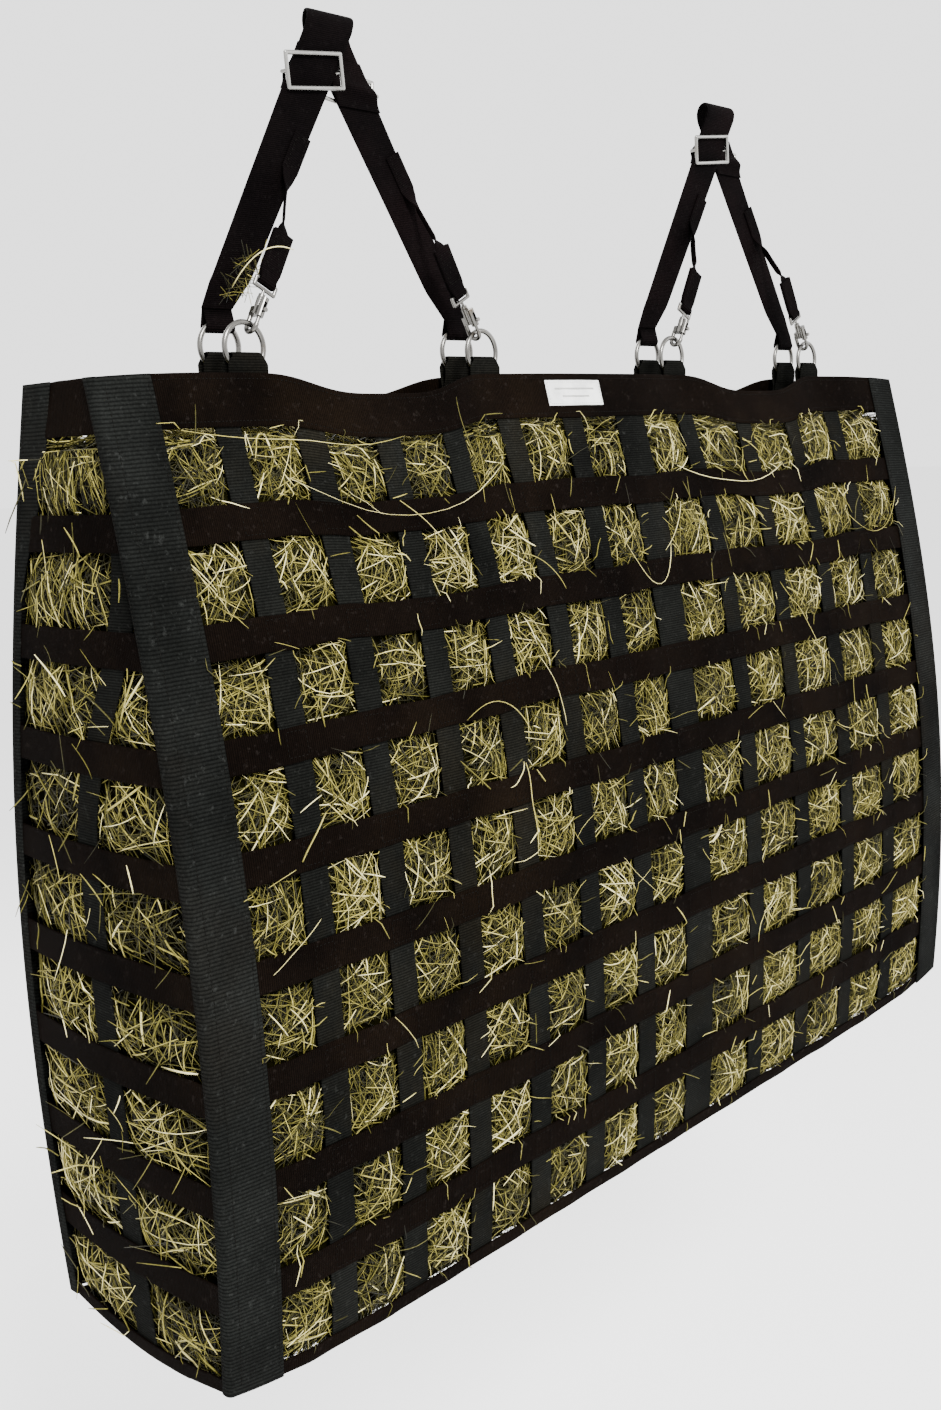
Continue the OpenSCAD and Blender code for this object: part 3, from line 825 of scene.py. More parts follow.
def bag_stitching():
    sew = Parts()
    xs = np.linspace(-HALF_W + 54, HALF_W - 54, 300)
    hs = np.linspace(0.01, 0.992, 300)
    for side, _ in FACES:
        nor = [(0, side, 0)] * 300
        for mm in (4.5, BAND_H - 5):
            stitches(sew, on_face(side, xs, BAND_LOW + mm / NET_H, 4.3), nor)
        for end in (-1, 1):
            for off in (4.5, 46.5):
                stitches(sew, on_face(side, end * (HALF_W - TRIM_W + off), hs, 6.6), nor)
            inner = on_end(end, 0, hs, 6.6)
            inner[:, 1] = face_y(side, HALF_W, hs) - side * 3.5
            stitches(sew, inner, [(end, 0, 0)] * 300)
        crossing_stitches(sew, side)
    finish(put_stitches(sew, "bag_stitching"), THREAD, "bag", "webbing_slate")


bag_stitching()

# ---- label: blank, with a sewn border and two plain bars

LABEL_LOW = 1 - 33 / NET_H
LABEL_HIGH = 1 - 7 / NET_H


def label_cloth():
    x = np.linspace(-92, -4, 60)[:, None]
    h = LABEL_LOW + (LABEL_HIGH - LABEL_LOW) * W[None, :] + wander(x, 31, 30) * 0.25 / NET_H
    parts = Parts()
    strip(parts, on_face(-1, x, h, 5.0 + 0.35 * (1 + wander(x, 33, 22))), 0.7)
    label = finish(parts.put("blank_label"), LABEL, "bag", "label_cloth", "plain_label")


def on_label(x, h):
    return on_face(-1, x, h, 5.75)


def label_stitching():
    sew = Parts()
    box = box_lines(-90, LABEL_LOW + 2 / NET_H, -6, LABEL_HIGH - 2 / NET_H)
    sew_lines(sew, box, 30, on_label, (0, -1, 0), long=2.2, wide=0.6, high=0.4, pitch=3.2)
    for share, a, b in ((0.66, -80, -16), (0.36, -70, -26)):
        middle = LABEL_LOW + (LABEL_HIGH - LABEL_LOW) * share
        bars = [((a, middle + off / NET_H), (b, middle + off / NET_H)) for off in (-0.6, 0.0, 0.6)]
        sew_lines(sew, bars, 30, on_label, (0, -1, 0), long=1.5, wide=0.8, high=0.3, pitch=1.1)
    finish(put_stitches(sew, "label_stitching"), PALE_THREAD, "bag", "label_cloth")


label_cloth()
label_stitching()

# ---- hanging straps

SIDE_OF = [-1, 1, -1, 1]


def tip(i, p):
    """From the plane of leg i, before its tilt, to the object's frame."""
    s = SIDE_OF[i]
    a = -s * TIP
    p = np.asarray(p, float)
    y, z = p[..., 1] + s * SADDLE_R, p[..., 2]
    x = p[..., 0] + (-HANG_X if i < 2 else HANG_X)
    return np.stack([x, y * math.cos(a) - z * math.sin(a), y * math.sin(a) + z * math.cos(a)], -1)


def leg_x(z):
    return SHIFT - np.asarray(z, float) * math.tan(LEAN)


def leg_points(i):
    """Centre and half width, in X, from the rail down to the foot."""
    s = SIDE_OF[i]
    z = np.concatenate([np.linspace(0, -225, 90), np.linspace(-228, -256, 14)])
    x = np.where(z > -226, leg_x(z), np.interp(-z, [226, 256], [float(leg_x(-226)), FOOT_OUT]))
    half = np.interp(-z, [0, 232, 256], [LEG_HALF, FOOT_HALF, 17])
    y = wander(z, 70 + i, 40) * 0.25 * np.sin(np.pi * np.clip(-z / 256, 0, 1))
    return tip(i, np.stack([s * x, y, z], -1)), half


def foot_loop(i):
    """From a leg's foot round the upper wire of its ring."""
    a = np.radians(np.linspace(-28, 208, 20))
    y = np.concatenate([[1.15, 1.15], 4.9 * np.cos(a), np.full(10, -1.15)])
    z = np.concatenate([np.linspace(-13.2, -13, 10)[8:], 2.0 + 4.9 * np.sin(a), np.linspace(-13, -13.2, 10)])
    return np.stack([FEET[i] + 0 * y, -SIDE_OF[i] * y, REAR_RING_Z + RING_R - 2.0 - z], -1)


def hanger(parts, i, j):
    """One strap: from a foot up a leg, over the rail and down to the other foot."""
    angle = np.linspace(-90, 90, 41)[1:-1]
    rad = np.radians(angle)
    middle = -HANG_X if i < 2 else HANG_X
    saddle = np.stack([middle + SHIFT / 90 * angle, SADDLE_R * np.sin(rad), SADDLE_R * np.cos(rad)], -1)
    (leg_1, half_1), (leg_2, half_2) = leg_points(i), leg_points(j)
    loop_1, loop_2 = foot_loop(i), foot_loop(j)
    path = np.concatenate([loop_1[::-1], leg_1[::-1], saddle, leg_2, loop_2])
    loop_half = np.full(len(loop_1), 15.5)
    halves = np.concatenate([loop_half, half_1[::-1], np.full(len(saddle), LEG_HALF), half_2, loop_half])
    strip(parts, path[:, None] + np.array([1.0, 0, 0]) * EDGE_V[None, :, None] * halves[:, None, None], 2.2)


def foot_stitches(sew, i):
    s = SIDE_OF[i]

    def on_foot(off, z):
        return tip(i, np.stack([s * (leg_x(z) + off), 0 * z + s * 1.1, z], -1))

    sew_lines(sew, box_lines(-18, -205, 18, -228), 12, on_foot, (0, s, -0.065))


def hanger_webbing():
    parts, sew = Parts(), Parts()
    for i in (0, 2):
        hanger(parts, i, i + 1)
    for i in range(4):
        foot_stitches(sew, i)
    finish(parts.put("hanger_webbing"), BLACK, "hangers", "strap_black", "hanger_straps")
    finish(put_stitches(sew, "hanger_stitching"), THREAD, "hangers", "strap_black")


hanger_webbing()

# ---- webbing folded over the middle bar of each slide

SLIDE_Z = -40.0
SLIDE_TURN = math.radians(7)


def slide_cover(i):
    """The strap's second layer, only where it passes over the slide's middle bar."""
    s = SIDE_OF[i]
    z = SLIDE_Z + np.linspace(24, -19, 56)[:, None]
    half = np.interp(-z, [0, 232], [LEG_HALF, FOOT_HALF])
    off = EDGE_V[None, :] * (half - 0.4)
    from_bar = z - SLIDE_Z + (off + s * (leg_x(z) - leg_x(SLIDE_Z))) * math.sin(s * SLIDE_TURN)
    y = -s * (2.3 + 5.3 * bump(from_bar / 6.5))
    parts = Parts()
    strip(parts, tip(i, np.stack([s * leg_x(z) + off, y, z + 0 * off], -1)), 1.8)
    finish(parts.put(f"slide_cover_{i + 1}"), BLACK, f"slide_{i + 1}", "strap_black")


for i in range(4):
    slide_cover(i)

# ---- strips that carry the snaps

EYE_HIGH = 42.5  # the swivel eye above the hook
KEEP_TOP = 92.0  # the top of the doubled end that holds the eye
SEWN_LOW = -130.0  # where the strip is sewn to its leg
SEWN_HIGH = -98.0
SEWN_Y = -2.5
SEWN_X = 16.0


def at_snap(i, p):
    """From a snap's own axes to the object's frame."""
    s = SIDE_OF[i]
    a = -s * LEAN
    p = np.asarray(p, float)
    x = p[..., 0] * math.cos(a) + p[..., 2] * math.sin(a)
    z = -p[..., 0] * math.sin(a) + p[..., 2] * math.cos(a)
    return np.stack([x + FEET[i] - s * RING_R * math.sin(LEAN), p[..., 1] + FRONT_RING_Y,
                     z + FRONT_RING_Z + RING_R * math.cos(LEAN)], -1)


def snap_way(i, v):
    """A direction in a snap's own axes."""
    return at_snap(i, v) - at_snap(i, (0, 0, 0))


def snap_keeper(parts, sew, i):
    """The doubled end, folded through the eye and sewn with a crossed box."""
    a = np.radians(np.linspace(50, -230, 22))
    z_down = np.linspace(KEEP_TOP, 50, 12)
    y = np.concatenate([np.full(12, 1.3), 3.3 * np.cos(a), np.full(12, -1.3)])
    z = np.concatenate([z_down, EYE_HIGH + 3.3 * np.sin(a), z_down[::-1]])
    widths = np.interp(z, [39, 46, 54], [17.5, 18, 22])
    path = at_snap(i, np.stack([0 * y, y, z], -1))
    ribbon_path(parts, path, snap_way(i, (1, 0, 0)), widths, 2.3, 70)
    lines = box_lines(-8, 56, 8, 86) + [((-8, 56), (8, 86)), ((8, 56), (-8, 86))]
    for way in (1, -1):
        sew_lines(sew, lines, 10, lambda x, z: at_snap(i, np.stack([x, 0 * x + way * 2.5, z], -1)),
                  snap_way(i, (0, way, 0)))


def snap_strip(parts, sew, i):
    """The strip: sewn flat on its leg, turned on edge where it hangs free, and flat again at the keeper."""
    s = SIDE_OF[i]

    def on_leg(x, z, lift=0.0):
        return tip(i, np.stack([s * leg_x(z) + SEWN_X + x, 0 * z + SEWN_Y - lift, z + 0 * x], -1))

    sewn = on_leg(0, np.linspace(SEWN_HIGH, SEWN_LOW, 14))
    leg_way = sewn[-1] - sewn[0]
    leg_way /= np.linalg.norm(leg_way)
    flat = np.cross(leg_way, [0, -1, 0.0])
    flat /= np.linalg.norm(flat)
    goal = at_snap(i, (0, 0, KEEP_TOP - 3))
    k = np.linspace(0, 1, 26)[1:, None]
    free = sewn[-1] + (goal - sewn[-1]) * k + leg_way * 33.6 * k * (1 - k) ** 2
    on_edge = np.array([0.55, 0.83, 0.0])
    at_end = snap_way(i, (1, 0, 0))
    at_end = at_end * np.sign(np.dot(at_end, on_edge)) * np.sign(np.dot(on_edge, flat))
    on_edge = on_edge * np.sign(np.dot(on_edge, flat))
    still = np.zeros((14, 1))
    turn_1 = np.concatenate([still, smooth(k / 0.3)])
    turn_2 = np.concatenate([still, smooth((k - 0.72) / 0.28)])
    across = (flat * (1 - turn_1) + on_edge * turn_1) * (1 - turn_2) + at_end * turn_2
    across /= np.linalg.norm(across, axis=-1, keepdims=True)
    widths = np.concatenate([np.full(14, 19.0), np.interp(k[:, 0], [0, 0.15, 1], [17, 14, 14])])
    ribbon_path(parts, np.concatenate([sewn, free]), across, widths, 1.8, 60)
    box = box_lines(-7, SEWN_HIGH - 3, 7, SEWN_LOW + 3)
    sew_lines(sew, box, 8, lambda x, z: on_leg(x, z, 1.0), (0, -1, 0))


def snap_strips():
    parts, sew = Parts(), Parts()
    for i in range(4):
        snap_keeper(parts, sew, i)
        snap_strip(parts, sew, i)
    finish(parts.put("snap_strip_webbing"), BLACK, "hangers", "strap_black", "snap_strips")
    finish(put_stitches(sew, "snap_strip_stitching"), THREAD, "hangers", "strap_black")


snap_strips()

# ---- hay: a heap painted dark as the shade deep in the hay, and many straws

HAY_TOP = 1 - 62 / NET_H
CORE_OUT = -6.0  # the heap lies this far inside the webbing


def lumps(x, y, z, scale, seed):
    """A smooth random value in space, about -1 to 1."""
    r = np.random.default_rng(seed)
    total = 0.0
    for k in range(6):
        d = r.normal(size=3)
        d /= np.linalg.norm(d)
        phase = (d[0] * x + d[1] * y + d[2] * z) / scale * (0.6 + 0.5 * k)
        total = total + np.sin(phase + r.uniform(0, 6.28))
    return total / 6


def heap(x, v):
    """Height of the top of the hay above its nominal level."""
    rough = 1 + 0.8 * lumps(x, v * 90, 0 * x, 60, 5)
    return 16 * np.sin(np.pi * np.clip(v, 0, 1)) * rough * np.clip((HALF_W - np.abs(x)) / 40, 0, 1)


def core_points():
    """Sections of the heap along X: up the front, over the top, down the rear and back under."""
    x = np.concatenate([[-639], np.linspace(-636, 636, 256), [639]])
    hs = np.linspace(8 / NET_H, HAY_TOP, 90)

    def through(h, v):
        return on_face(-1, x, h, CORE_OUT) * (1 - v) + on_face(1, x, h, CORE_OUT) * v

    ring = [on_face(-1, x, h, CORE_OUT) for h in hs]
    for v in np.linspace(0.06, 0.94, 14):
        ring.append(through(HAY_TOP, v))
        ring[-1][:, 2] += heap(x, v)
    ring += [on_face(1, x, h, CORE_OUT) for h in hs[::-1]]
    for v in np.linspace(0.95, 0.05, 14):
        ring.append(through(hs[0], v))
        ring[-1][:, 2] -= floor_sag(x, v) * 0.6
    core = np.stack(ring, 1)
    push = lumps(core[..., 0], core[..., 1], core[..., 2], 9, 11) * 2.2
    away = core - core.mean(1, keepdims=True)
    away[..., 0] = 0
    away /= np.maximum(np.linalg.norm(away, axis=-1, keepdims=True), 1e-6)
    return core + away * push[..., None]


def shaded_hay_core():
    core = core_points()
    n, k = core.shape[:2]
    i = np.arange(n - 1)[:, None] * k
    j = np.arange(k)
    on = (j + 1) % k
    quads = np.stack(np.broadcast_arrays(i + j, i + on, i + k + on, i + k + j), -1)
    ends = [core[0].mean(0) + [-6, 0, 0], core[-1].mean(0) + [6, 0, 0]]
    verts = np.concatenate([core.reshape(-1, 3), ends])
    last = (n - 1) * k
    near = np.stack([on, j, 0 * j + n * k], -1)
    far = np.stack([j + last, on + last, 0 * j + n * k + 1], -1)
    tint = 0.25 + 0.25 * lumps(verts[:, 0], verts[:, 1], verts[:, 2], 4, 12)
    # the heap is drawn dark as painted shade
    core_ob = put("shaded_hay_core", verts, quads, tris=np.concatenate([near, far]), tint=tint)
    finish(core_ob, CORE, "bag", "hay", "hay_fill")


shaded_hay_core()


def tubes(name, lines, radius, tint, flat=0.6):
    """Straws: lines is (count, points, 3) in mm. Each straw has three sides and closed ends."""
    cnt, m = lines.shape[:2]
    run = np.gradient(lines, axis=1)
    run /= np.maximum(np.linalg.norm(run, axis=-1, keepdims=True), 1e-9)
    a = np.cross(run, rng.normal(size=(cnt, 1, 3)))
    a /= np.maximum(np.linalg.norm(a, axis=-1, keepdims=True), 1e-9)
    b = np.cross(run, a)
    taper = np.ones(m)
    taper[0], taper[-1] = 0.75, 0.5
    r = radius[:, None, None] * taper[None, :, None]
    flat = np.broadcast_to(np.asarray(flat, float), (cnt,))[:, None, None]
    turns = (0, 2 * math.pi / 3, 4 * math.pi / 3)
    ring = [lines + a * r * math.cos(t) + b * r * math.sin(t) * flat for t in turns]
    v = np.stack(ring, 2).reshape(-1, 3)
    i = np.arange(cnt)[:, None, None] * (m * 3) + np.arange(m - 1)[None, :, None] * 3
    j = np.arange(3)
    on = (j + 1) % 3
    q = np.stack([i + j, i + on, i + 3 + on, i + 3 + j], -1).reshape(-1, 4)
    c = np.arange(cnt)[:, None] * (m * 3)
    t = np.concatenate([c + [2, 1, 0], c + m * 3 - [3, 2, 1]])
    return put(name, v, q[:, ::-1], tris=t[:, ::-1], tint=np.repeat(tint, m * 3))


def flat_straws(count, mids, length, curl, m=5):
    """Straws drawn on a flat map: middle points, then a gentle arc through each."""
    ang = rng.uniform(0, 2 * math.pi, count)
    s = np.linspace(-0.5, 0.5, m)[None, :] * length[:, None]
    kap = rng.normal(0, curl, count)[:, None]
    px = mids[:, :1] + np.cos(ang)[:, None] * s - np.sin(ang)[:, None] * kap * s * s
    pz = mids[:, 1:] + np.sin(ang)[:, None] * s + np.cos(ang)[:, None] * kap * s * s
    return px, pz


def pick_in_openings(count):
    """Points inside the openings of a face, more of them in the wider columns."""
    rng.integers(0, len(X_OPEN), count)  # a draw that moves the next ones on
    row = np.array(H_OPEN_MM)[rng.integers(0, len(H_OPEN_MM), count)]
    size = np.array([b - a for a, b in X_OPEN])
    col = np.array(X_OPEN)[rng.choice(len(X_OPEN), count, p=size / size.sum())]
    u = rng.uniform(0, 1, count)
    v = rng.uniform(0, 1, count)
    return np.stack([col[:, 0] + u * (col[:, 1] - col[:, 0]), row[:, 0] + v * (row[:, 1] - row[:, 0])], -1)


def over_straps(x, h):
    """How far out a straw must lie to pass over the webbing at this place."""
    need = np.full(np.shape(x), -20.0)
    for a, b in ALL_UP:
        need = np.where((x > a - 3) & (x < b + 3), 4.9, need)
    for a, b in CROSSES:
        need = np.where((h > a - 3 / NET_H) & (h < b + 3 / NET_H), 8.3, need)
    need = np.where(np.abs(x) > HALF_W - TRIM_W - 4, 7.8, need)
    return np.where((h > BAND_LOW - 3 / NET_H) | (h < FOOT_TOP), 6.2, need)


def bed_straws(side, count, length, curl, power, radius, tints):
    """Straws that lie in the openings, each on the pillow of hay that swells out there."""
    mids = pick_in_openings(count)
    px, pz = flat_straws(count, mids, length, curl)
    px = np.clip(px, -HALF_W + 4, HALF_W - 4)
    top = (HAY_TOP * NET_H) + 5 + 9 * wander(px, 77 + side, 22)
    pz = np.clip(pz, 4, np.maximum(top, 5))
    hh = pz / NET_H
    pillow = open_share(px, X_OPEN) * open_share(hh, H_OPEN)
    level_ = rng.uniform(0, 1, count) ** power
    out = (-6.5 * (1 - level_) - 1.8)[:, None] + pillow * (2.0 + 8.5 * level_[:, None])
    tilt = rng.normal(0, 2.6, count)[:, None] * np.linspace(-1, 1, px.shape[1])[None] * (pillow > 0.3)
    out = np.clip(out + tilt, -9, 13)
    # the tint rises with how far out the straw lies: deeper straws are painted darker as shade, the random
    # part is their own colour
    tint = np.clip(tints[0] + tints[1] * level_ + rng.normal(0, tints[2], count), 0.02, 0.99)
    return on_face(side, px, hh, out), rng.uniform(*radius, count), tint


def poke_straws(side, count):
    """Straws that stick out of the openings and lie over the edges of the webbing."""
    mids = pick_in_openings(count)
    length = np.clip(rng.gamma(4, 4.8, count), 9, 50)
    ang = rng.uniform(0, 2 * math.pi, count)
    s_ = np.linspace(0, 1, 5)[None, :]
    kap = rng.normal(0, 0.003, count)[:, None]
    run = s_ * length[:, None]
    px = mids[:, :1] + np.cos(ang)[:, None] * run - np.sin(ang)[:, None] * kap * run * run
    pz = mids[:, 1:] + np.sin(ang)[:, None] * run + np.cos(ang)[:, None] * kap * run * run
    px = np.clip(px, -HALF_W + TRIM_W - 6, HALF_W - TRIM_W + 6)
    hh = np.clip(pz / NET_H, 0.004, BAND_LOW + 0.006)
    rise = rng.uniform(2, 10, count)[:, None] * s_ ** 1.3
    out = np.maximum(1.0 + rise, over_straps(px, hh) + rng.uniform(0, 2.5, count)[:, None])
    tint = np.clip(rng.normal(0.62, 0.2, count), 0.15, 0.99)
    return on_face(side, px, hh, out), rng.uniform(0.35, 0.85, count), tint


def face_straws(side, word, count):
    """Fine straws and flat blades that lie in the openings, and some that stick out."""
    fine, blade, poke = int(count * 0.75), int(count * 0.19), int(count * 0.06)
    long_fine = np.clip(rng.gamma(5.5, 7.5, fine), 16, 100)
    fines = bed_straws(side, fine, long_fine, 0.005, 1.25, (0.32, 0.72), (0.10, 0.52, 0.17))
    long_blade = np.clip(rng.gamma(6, 6.2, blade), 14, 70)
    blades = bed_straws(side, blade, long_blade, 0.0012, 0.85, (0.48, 1.08), (0.18, 0.64, 0.20))
    pokes = poke_straws(side, poke)
    lines, radius, tint = (np.concatenate(three) for three in zip(fines, blades, pokes))
    flat = np.repeat([0.7, 0.28, 0.5], [fine, blade, poke])
    order = rng.permutation(len(radius))
    for k, part in enumerate(np.array_split(order, 4)):
        ob = tubes(f"{word}_hay_{k + 1}", lines[part], radius[part], tint[part], flat[part])
        finish(ob, HAY, "bag", "hay")


face_straws(-1, "front", 29000)
face_straws(1, "rear", 22000)


def gusset_bed(end, count):
    """Straws that lie in the openings of a gusset."""
    row = np.array(H_OPEN_MM)[rng.integers(0, 9, count)]
    y = rng.uniform(8, 240, count)
    mids = np.stack([y, row[:, 0] + rng.uniform(0, 1, count) * (row[:, 1] - row[:, 0])], -1)
    length = np.clip(rng.gamma(5, 11, count), 20, 120)
    py, pz = flat_straws(count, mids, length, 0.0022)
    h = np.clip(pz, 4, HAY_TOP * NET_H + 6) / NET_H
    y0, y1 = end_depth(h)
    u = np.clip(py / DEEP, 0.02, 0.98)
    from_line = np.clip((np.abs(u - centre_line(h)) * (y1 - y0) - STRAP / 2) / 22, 0, 1)
    from_front = np.clip(u * (y1 - y0) / 26 - 0.35, 0, 1)
    from_rear = np.clip((1 - u) * (y1 - y0) / 26 - 0.55, 0, 1)
    pillow = np.sqrt(from_line * from_front * from_rear) * open_share(h, H_OPEN)
    level_ = rng.uniform(0, 1, count) ** 1.4
    out = (-6.0 * (1 - level_) - 1.8)[:, None] + pillow * (2.5 + 7.0 * level_[:, None])
    thick = rng.uniform(0, 1, count) < 0.25
    radius = np.where(thick, rng.uniform(0.6, 1.25, count), rng.uniform(0.3, 0.65, count))
    # the tint rises with how far out the straw lies: deeper straws are painted darker as shade, the random
    # part is their own colour
    tint = np.clip(0.12 + 0.62 * level_ + rng.normal(0, 0.17, count), 0.02, 0.98)
    return on_end(end, u, h, out), radius, tint


def gusset_pokes(end, count):
    """Straws that stick out of a gusset."""
    row = np.array(H_OPEN_MM)[rng.integers(0, 9, count)]
    s_ = np.linspace(0, 1, 5)[None, :]
    run = s_ * np.clip(rng.gamma(5, 6, count), 14, 60)[:, None]
    ang = rng.uniform(0, 2 * math.pi, count)[:, None]
    y = rng.uniform(20, 230, count)[:, None] + np.cos(ang) * run
    h = np.clip(rng.uniform(row[:, 0], row[:, 1])[:, None] + np.sin(ang) * run, 6, HAY_TOP * NET_H) / NET_H
    out = 7.5 + rng.uniform(0, 17, count)[:, None] * s_ ** 1.4
    out = np.minimum(out, 9 + 18 * np.clip(run / 40, 0, 1))
    line = on_end(end, np.clip(y / DEEP, 0.03, 0.97), h, out)
    return line, rng.uniform(0.4, 0.9, count), np.clip(rng.normal(0.64, 0.19, count), 0.2, 0.99)


def gusset_hay():
    sets = []
    for end in (-1, 1):
        sets.append(gusset_bed(end, 3400))
        sets.append(gusset_pokes(end, 210))
    finish(tubes("gusset_hay", *(np.concatenate(kind) for kind in zip(*sets))), HAY, "bag", "hay")


def floor_hay(count):
    mids = np.stack([rng.uniform(-630, 630, count), rng.uniform(6, 244, count)], -1)
    length = np.clip(rng.gamma(5, 12, count), 25, 130)
    px, pv = flat_straws(count, mids, length, 0.002)
    px, v = np.clip(px, -636, 636), np.clip(pv / DEEP, 0.02, 0.98)
    pillow = open_share(px, X_OPEN) * open_share(v, openings(0.0, FLOOR_LINES, 1.0))
    level_ = rng.uniform(0, 1, count) ** 1.4
    out = (-6.0 * (1 - level_) - 1.4)[:, None] + pillow * (2.0 + 5.5 * level_[:, None])
    radius = rng.uniform(0.45, 1.05, count)
    # the tint rises with how far out the straw lies: deeper straws are painted darker as shade, the random
    # part is their own colour
    tint = np.clip(0.1 + 0.55 * level_ + rng.normal(0, 0.15, count), 0.02, 0.98)
    finish(tubes("floor_hay", on_floor(px, v, out), radius, tint), HAY, "bag", "hay")


def top_hay(count):
    """Straws on top of the heap, inside the rim."""
    mids = np.stack([rng.uniform(-630, 630, count), rng.uniform(0.04, 0.96, count) * 80], -1)
    length = np.clip(rng.gamma(5, 14, count), 25, 150)
    px, pv = flat_straws(count, mids, length, 0.003)
    px, v = np.clip(px, -636, 636), np.clip(pv / 80, 0.03, 0.97)
    share = v[..., None]
    p = on_face(-1, px, HAY_TOP, -5.5) * (1 - share) + on_face(1, px, HAY_TOP, -5.5) * share
    level_ = rng.uniform(0, 1, count) ** 1.3
    tilt = rng.normal(0, 9, count)[:, None] * np.linspace(-1, 1, 5)[None]
    p[..., 2] += heap(px, v) + (-6 + 14 * level_)[:, None] + np.clip(tilt, -14, 20)
    p[..., 2] = np.minimum(p[..., 2], RIM_Z - 8)
    radius = rng.uniform(0.45, 1.1, count)
    # the tint rises with how high the straw lies: lower straws are painted darker as shade, the random part
    # is their own colour
    tint = np.clip(0.15 + 0.6 * level_ + rng.normal(0, 0.15, count), 0.02, 0.98)
    finish(tubes("top_hay", p, radius, tint), HAY, "bag", "hay")


gusset_hay()
floor_hay(4200)
top_hay(5200)

# straws that lie over the webbing, some of them long


def loose(side, x, z, length, ang, curl, out, r, tint):
    """One straw across the webbing, as a line, a radius and a tint."""
    s = np.linspace(-0.5, 0.5, 12) * length
    px = x + math.cos(ang) * s - math.sin(ang) * curl * s * s
    pz = z + math.sin(ang) * s + math.cos(ang) * curl * s * s
    keep = np.clip(px, -HALF_W + 6, HALF_W - 6)
    hh = np.clip(pz / NET_H, 0.01, 0.985)
    lay = out + 1.5 * wander(s, int(abs(x) * 7 + abs(z)) % 997, 25)
    near_trim = np.clip((np.abs(keep) - (HALF_W - TRIM_W - 12)) / 10, 0, 1) * 2.6
    return on_face(side, keep, hh, lay + near_trim), r, tint


def any_loose(side):
    long_one = rng.uniform(0, 1) < 0.3
    lengths, bend, radii = ((60, 125), 0.006, (0.35, 0.6)) if long_one else ((22, 55), 0.002, (0.45, 0.95))
    return loose(side, rng.uniform(-590, 590), rng.uniform(60, 850), rng.uniform(*lengths),
                 rng.uniform(0, math.pi), rng.normal(0, bend), 8.0 + rng.uniform(0, 2.0),
                 rng.uniform(*radii), rng.uniform(0.45, 0.95))


def drape(x0, z0, x1, z1, sag, r, tint):
    """One long straw that hangs across the front between two places."""
    k = np.linspace(0, 1, 12)
    px = x0 + (x1 - x0) * k + 3 * wander(k * 90, int(abs(x0)) % 97, 30)
    pz = z0 + (z1 - z0) * k - sag * 4 * k * (1 - k)
    return on_face(-1, px, pz / NET_H, 10.5 - 3.5 * np.abs(2 * k - 1) ** 3), r, tint


def loose_hay():
    straws = [any_loose(-1) for _ in range(34)]
    straws += [any_loose(1) for _ in range(30)]
    straws += [
        drape(-465, 790, -182, 792, 34, 0.5, 0.9),
        drape(-575, 834, -315, 836, 12, 0.4, 0.8),
        drape(-342, 772, -276, 702, -3, 0.45, 0.85),
        drape(-196, 600, -166, 524, -9, 0.5, 0.85),
        drape(-238, 498, -234, 402, -6, 0.55, 0.8),
        drape(-262, 478, -238, 500, 3, 0.9, 0.9),
        drape(108, 778, 332, 782, 22, 0.5, 0.9),
        drape(-22, 700, 62, 694, 46, 0.5, 0.95),
        drape(48, 686, 98, 738, 2, 0.55, 0.95),
        drape(462, 704, 602, 730, 42, 0.5, 0.8),
        drape(286, 610, 342, 528, -10, 0.5, 0.8),
    ]
    lines, radii, tints = (np.array(kind) for kind in zip(*straws))
    finish(tubes("loose_hay", lines, radii, tints), HAY, "bag", "hay")


loose_hay()


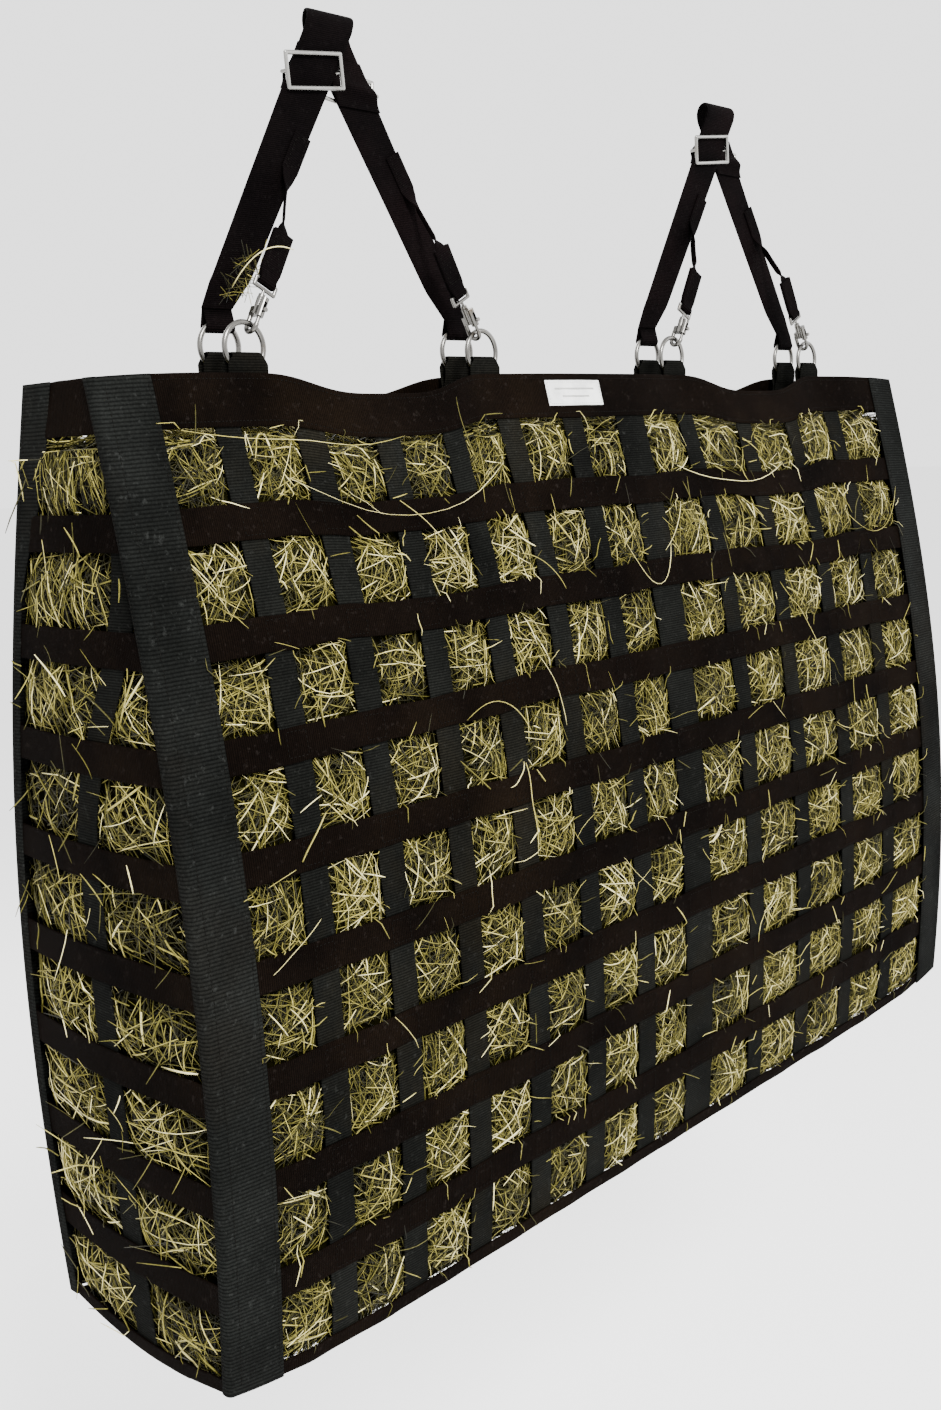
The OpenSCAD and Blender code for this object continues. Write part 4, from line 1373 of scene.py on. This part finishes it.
def strap_hay(bits):
    """A pale straw and bits of hay caught on the first hanging strap."""
    k = np.linspace(0, 1, 14)[:, None]
    p0, p2 = at_snap(0, (12, -6, 82)), tip(0, (-float(leg_x(-238)) - 4, -12, -238))
    p1 = (p0 + p2) / 2 + [-16, -18, 26]
    lines = [p0 * (1 - k) ** 2 + p1 * 2 * k * (1 - k) + p2 * k ** 2]
    for _ in range(bits):
        z0, ang, long_ = rng.uniform(-246, -205), rng.uniform(0, math.pi), rng.uniform(10, 34)
        run = np.linspace(-0.5, 0.5, 14) * long_
        x0 = -float(leg_x(z0)) + rng.uniform(-8, 20)
        y0 = -4.4 - rng.uniform(0, 4) - np.linspace(0, 1, 14) * rng.uniform(0, 5)
        lines.append(tip(0, np.stack([x0 + math.cos(ang) * run, y0, z0 + math.sin(ang) * run], -1)))
    tint = np.concatenate([[0.97], np.clip(rng.normal(0.38, 0.16, bits), 0.05, 0.85)])
    radius = np.concatenate([[0.6], rng.uniform(0.3, 0.6, bits)])
    finish(tubes("strap_hay", np.stack(lines), radius, tint), HAY, "hangers", "hay")


strap_hay(46)

# ---- metal

LEGS = (1, 2, 3, 4)


def shine(node, look):
    """A metal node of the CAD keeps its shape and takes a better material."""
    ob = bpy.data.objects[node]
    for slot_ in ob.material_slots:
        slot_.material = look
    if not ob.material_slots:
        ob.data.materials.append(look)


# the rings, eyes, snap bodies and bolts take the shaded copy of the plated steel, painted shade
for node in ("rear_rings", "front_rings", "snap_eyes"):
    shine(node, SHADED_STEEL)
for leg in LEGS:
    shine(f"slide_{leg}", STEEL)
    shine(f"snap_body_{leg}", SHADED_STEEL)
    shine(f"snap_bolt_{leg}", SHADED_STEEL)

# ---- studio

def studio_floor(size):
    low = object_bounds()[0][2] - 0.9
    me = bpy.data.meshes.new("studio_floor")
    corners = [(-size, -size, low), (size, -size, low), (size, size, low), (-size, size, low)]
    me.from_pydata(corners, [], [(0, 1, 2, 3)])
    ob = bpy.data.objects.new("studio_floor", me)
    bpy.context.scene.collection.objects.link(ob)
    m, _, b = nodes_of("studio_floor")
    b.inputs["Base Color"].default_value = (0.93, 0.93, 0.93, 1)
    b.inputs["Roughness"].default_value = 0.95
    b.inputs["Specular IOR Level"].default_value = 0.0
    me.materials.append(m)
    ob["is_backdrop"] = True


def soft_world(strength):
    world = bpy.data.worlds.new("studio")
    world.use_nodes = True
    sky = world.node_tree.nodes["Background"]
    sky.inputs[0].default_value = (1, 1, 1, 1)
    sky.inputs[1].default_value = strength
    bpy.context.scene.world = world


def area(name, at, to, size, power):
    d = bpy.data.lights.new(name, "AREA")
    d.energy = power
    d.size = size
    o = bpy.data.objects.new(name, d)
    o.location = at
    o.rotation_euler = (Vector(to) - Vector(at)).to_track_quat("-Z", "Y").to_euler()
    bpy.context.scene.collection.objects.link(o)


studio_floor(60.0)
soft_world(2.3)
area("key", (-1.7, -3.3, 2.1), (0, 0, -0.7), 1.1, 520)
area("fill", (2.8, -2.2, 0.6), (0, 0, -0.7), 2.4, 60)
area("back", (0.6, 3.2, 1.6), (0, 0, -0.6), 2.2, 160)
